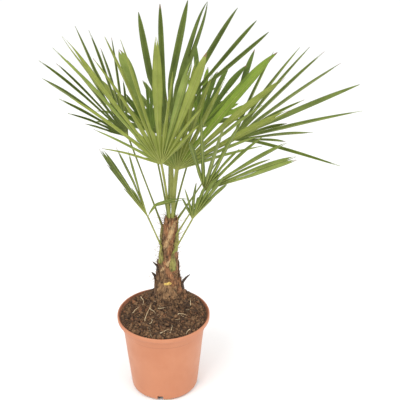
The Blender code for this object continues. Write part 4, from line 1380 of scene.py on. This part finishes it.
def makeFronds():
    templates = {"half": gridTemplate(fanRule["columns"], fanRule["rows"]), "rib": tubeTemplate(5, 14),
                 "stalk": tubeTemplate(14, 64), "tooth": tubeTemplate(3, 1)}
    ribs, teeth = [], []
    for name, frond in fronds.items():
        ribs += makeBlade(name, frond, templates)
        teeth += makePetiole(name, frond, templates)
    ribMesh = stampMesh("leafRibs", templates["rib"], ribs)
    addPiece("leafRibs", ribMesh, [leafMaterials["rib"]], smooth=80)
    toothMesh = stampMesh("stalkTeeth", templates["tooth"], teeth)
    addPiece("stalkTeeth", toothMesh, [leafMaterials["stalkPale"]])
    print("palm: fronds,", len(ribs), "leaflets and", len(teeth), "teeth")


makeTrunk()
makeFronds()


# the dead leaf stubs

stubs = {
    "old_leaf_left_high": {"bearing": 200, "height": 0.082, "length": 0.024, "radius": 0.0022},
    "old_leaf_left_low": {"bearing": 190, "height": 0.058, "length": 0.017, "radius": 0.0026},
    "old_leaf_right": {"bearing": 340, "height": 0.034, "length": 0.042, "radius": 0.0026},
}
# shares of a stub's length that it leans out and rises, and of its radius at the foot
stubRule = {"out": 0.45, "up": 0.7, "steps": 8, "footSwell": 1.7, "narrowing": 0.72, "flatness": 0.75}


def makeStubs():
    rule = stubRule
    tones = ((0.095, 0.062, 0.038), (0.016, 0.011, 0.008))
    material = effectMaterial("deadStub", "crumble", tones, 0.85, 0.0005, 500)
    template = tubeTemplate(9, 18)
    for name, stub in stubs.items():
        out, length = bearing(stub["bearing"]), stub["length"]
        turn = math.radians(stub["bearing"])
        foot = trunkPoint(stub["height"], turn, stub["radius"] * 0.7)
        second = trunkPoint(stub["height"] + 0.3 * length, turn, stub["radius"] * 0.9)
        path = [foot, foot.lerp(second, 0.5), second]
        for k in range(1, rule["steps"] + 1):
            share = k / rule["steps"]
            rise = Vector((0, 0, rule["up"] * length * share))
            path.append(second + out * (rule["out"] * length * share ** 1.5) + rise)
        last = len(path) - 1
        swollen = stub["radius"] * rule["footSwell"]
        radii = [swollen * (1 - rule["narrowing"] * (k / last) ** 3) for k in range(last + 1)]
        across = Vector((-out.y, out.x, 0))
        layout = tubeLayout(template, path, radii, [across] * len(path), rule["flatness"])
        mesh = stampMesh(name, template, [layout])
        addPiece("stub_" + name, mesh, [material], [name], 60)


makeStubs()
print("palm: stubs")


# the stage

stageSizes = {
    "cameraPlace": (0.083, -1.7077, 1.3628),
    "cameraPitch": 62.7,
    "lens": 81.18,
    "keyPlace": (-1.6, -2.2, 2.9),
    "keyPower": 70,
    "fillPlace": (2.4, -1.6, 1.9),
    "fillPower": 34,
    "skyStrength": 1.0,
}


def addLight(name, place, power, size, target):
    lamp = bpy.data.lights.new(name, "AREA")
    lamp.energy = power
    lamp.size = size
    made = bpy.data.objects.new(name, lamp)
    made.location = place
    made.rotation_euler = (Vector(target) - Vector(place)).to_track_quat("-Z", "Y").to_euler()
    bpy.context.scene.collection.objects.link(made)


def makeStage():
    s = stageSizes
    bm = bmesh.new()
    bmesh.ops.create_grid(bm, x_segments=1, y_segments=1, size=14)
    floor = bpy.data.objects.new("floor", meshFrom(bm, "floor"))
    bpy.context.scene.collection.objects.link(floor)
    material, tree, shader, coordinates = newMaterial("paleFloor", 0.7)
    shade = rangeOf(tree, noiseOf(tree, coordinates["Object"], 3, 2), 0.3, 0.7)
    white = mixColours(tree, shade, (0.93, 0.93, 0.93, 1), (0.96, 0.96, 0.96, 1))
    tree.links.new(white, shader.inputs["Base Color"])
    floor.data.materials.append(material)
    addLight("key", s["keyPlace"], s["keyPower"], 2.2, (0, 0, 0.4))
    addLight("fill", s["fillPlace"], s["fillPower"], 2.6, (0, 0, 0.4))
    world = bpy.data.worlds.new("studio")
    bpy.context.scene.world = world
    world.use_nodes = True
    world.node_tree.nodes["Background"].inputs["Color"].default_value = (1, 1, 1, 1)
    world.node_tree.nodes["Background"].inputs["Strength"].default_value = s["skyStrength"]
    lens = bpy.data.cameras.new("camera")
    lens.lens = s["lens"]
    lens.sensor_width = 36
    camera = bpy.data.objects.new("camera", lens)
    camera.location = s["cameraPlace"]
    camera.rotation_euler = (math.radians(s["cameraPitch"]), 0, 0)
    bpy.context.scene.collection.objects.link(camera)
    bpy.context.scene.camera = camera
    bpy.context.scene.view_settings.view_transform = "Standard"


makeStage()
print("palm: stage and camera")
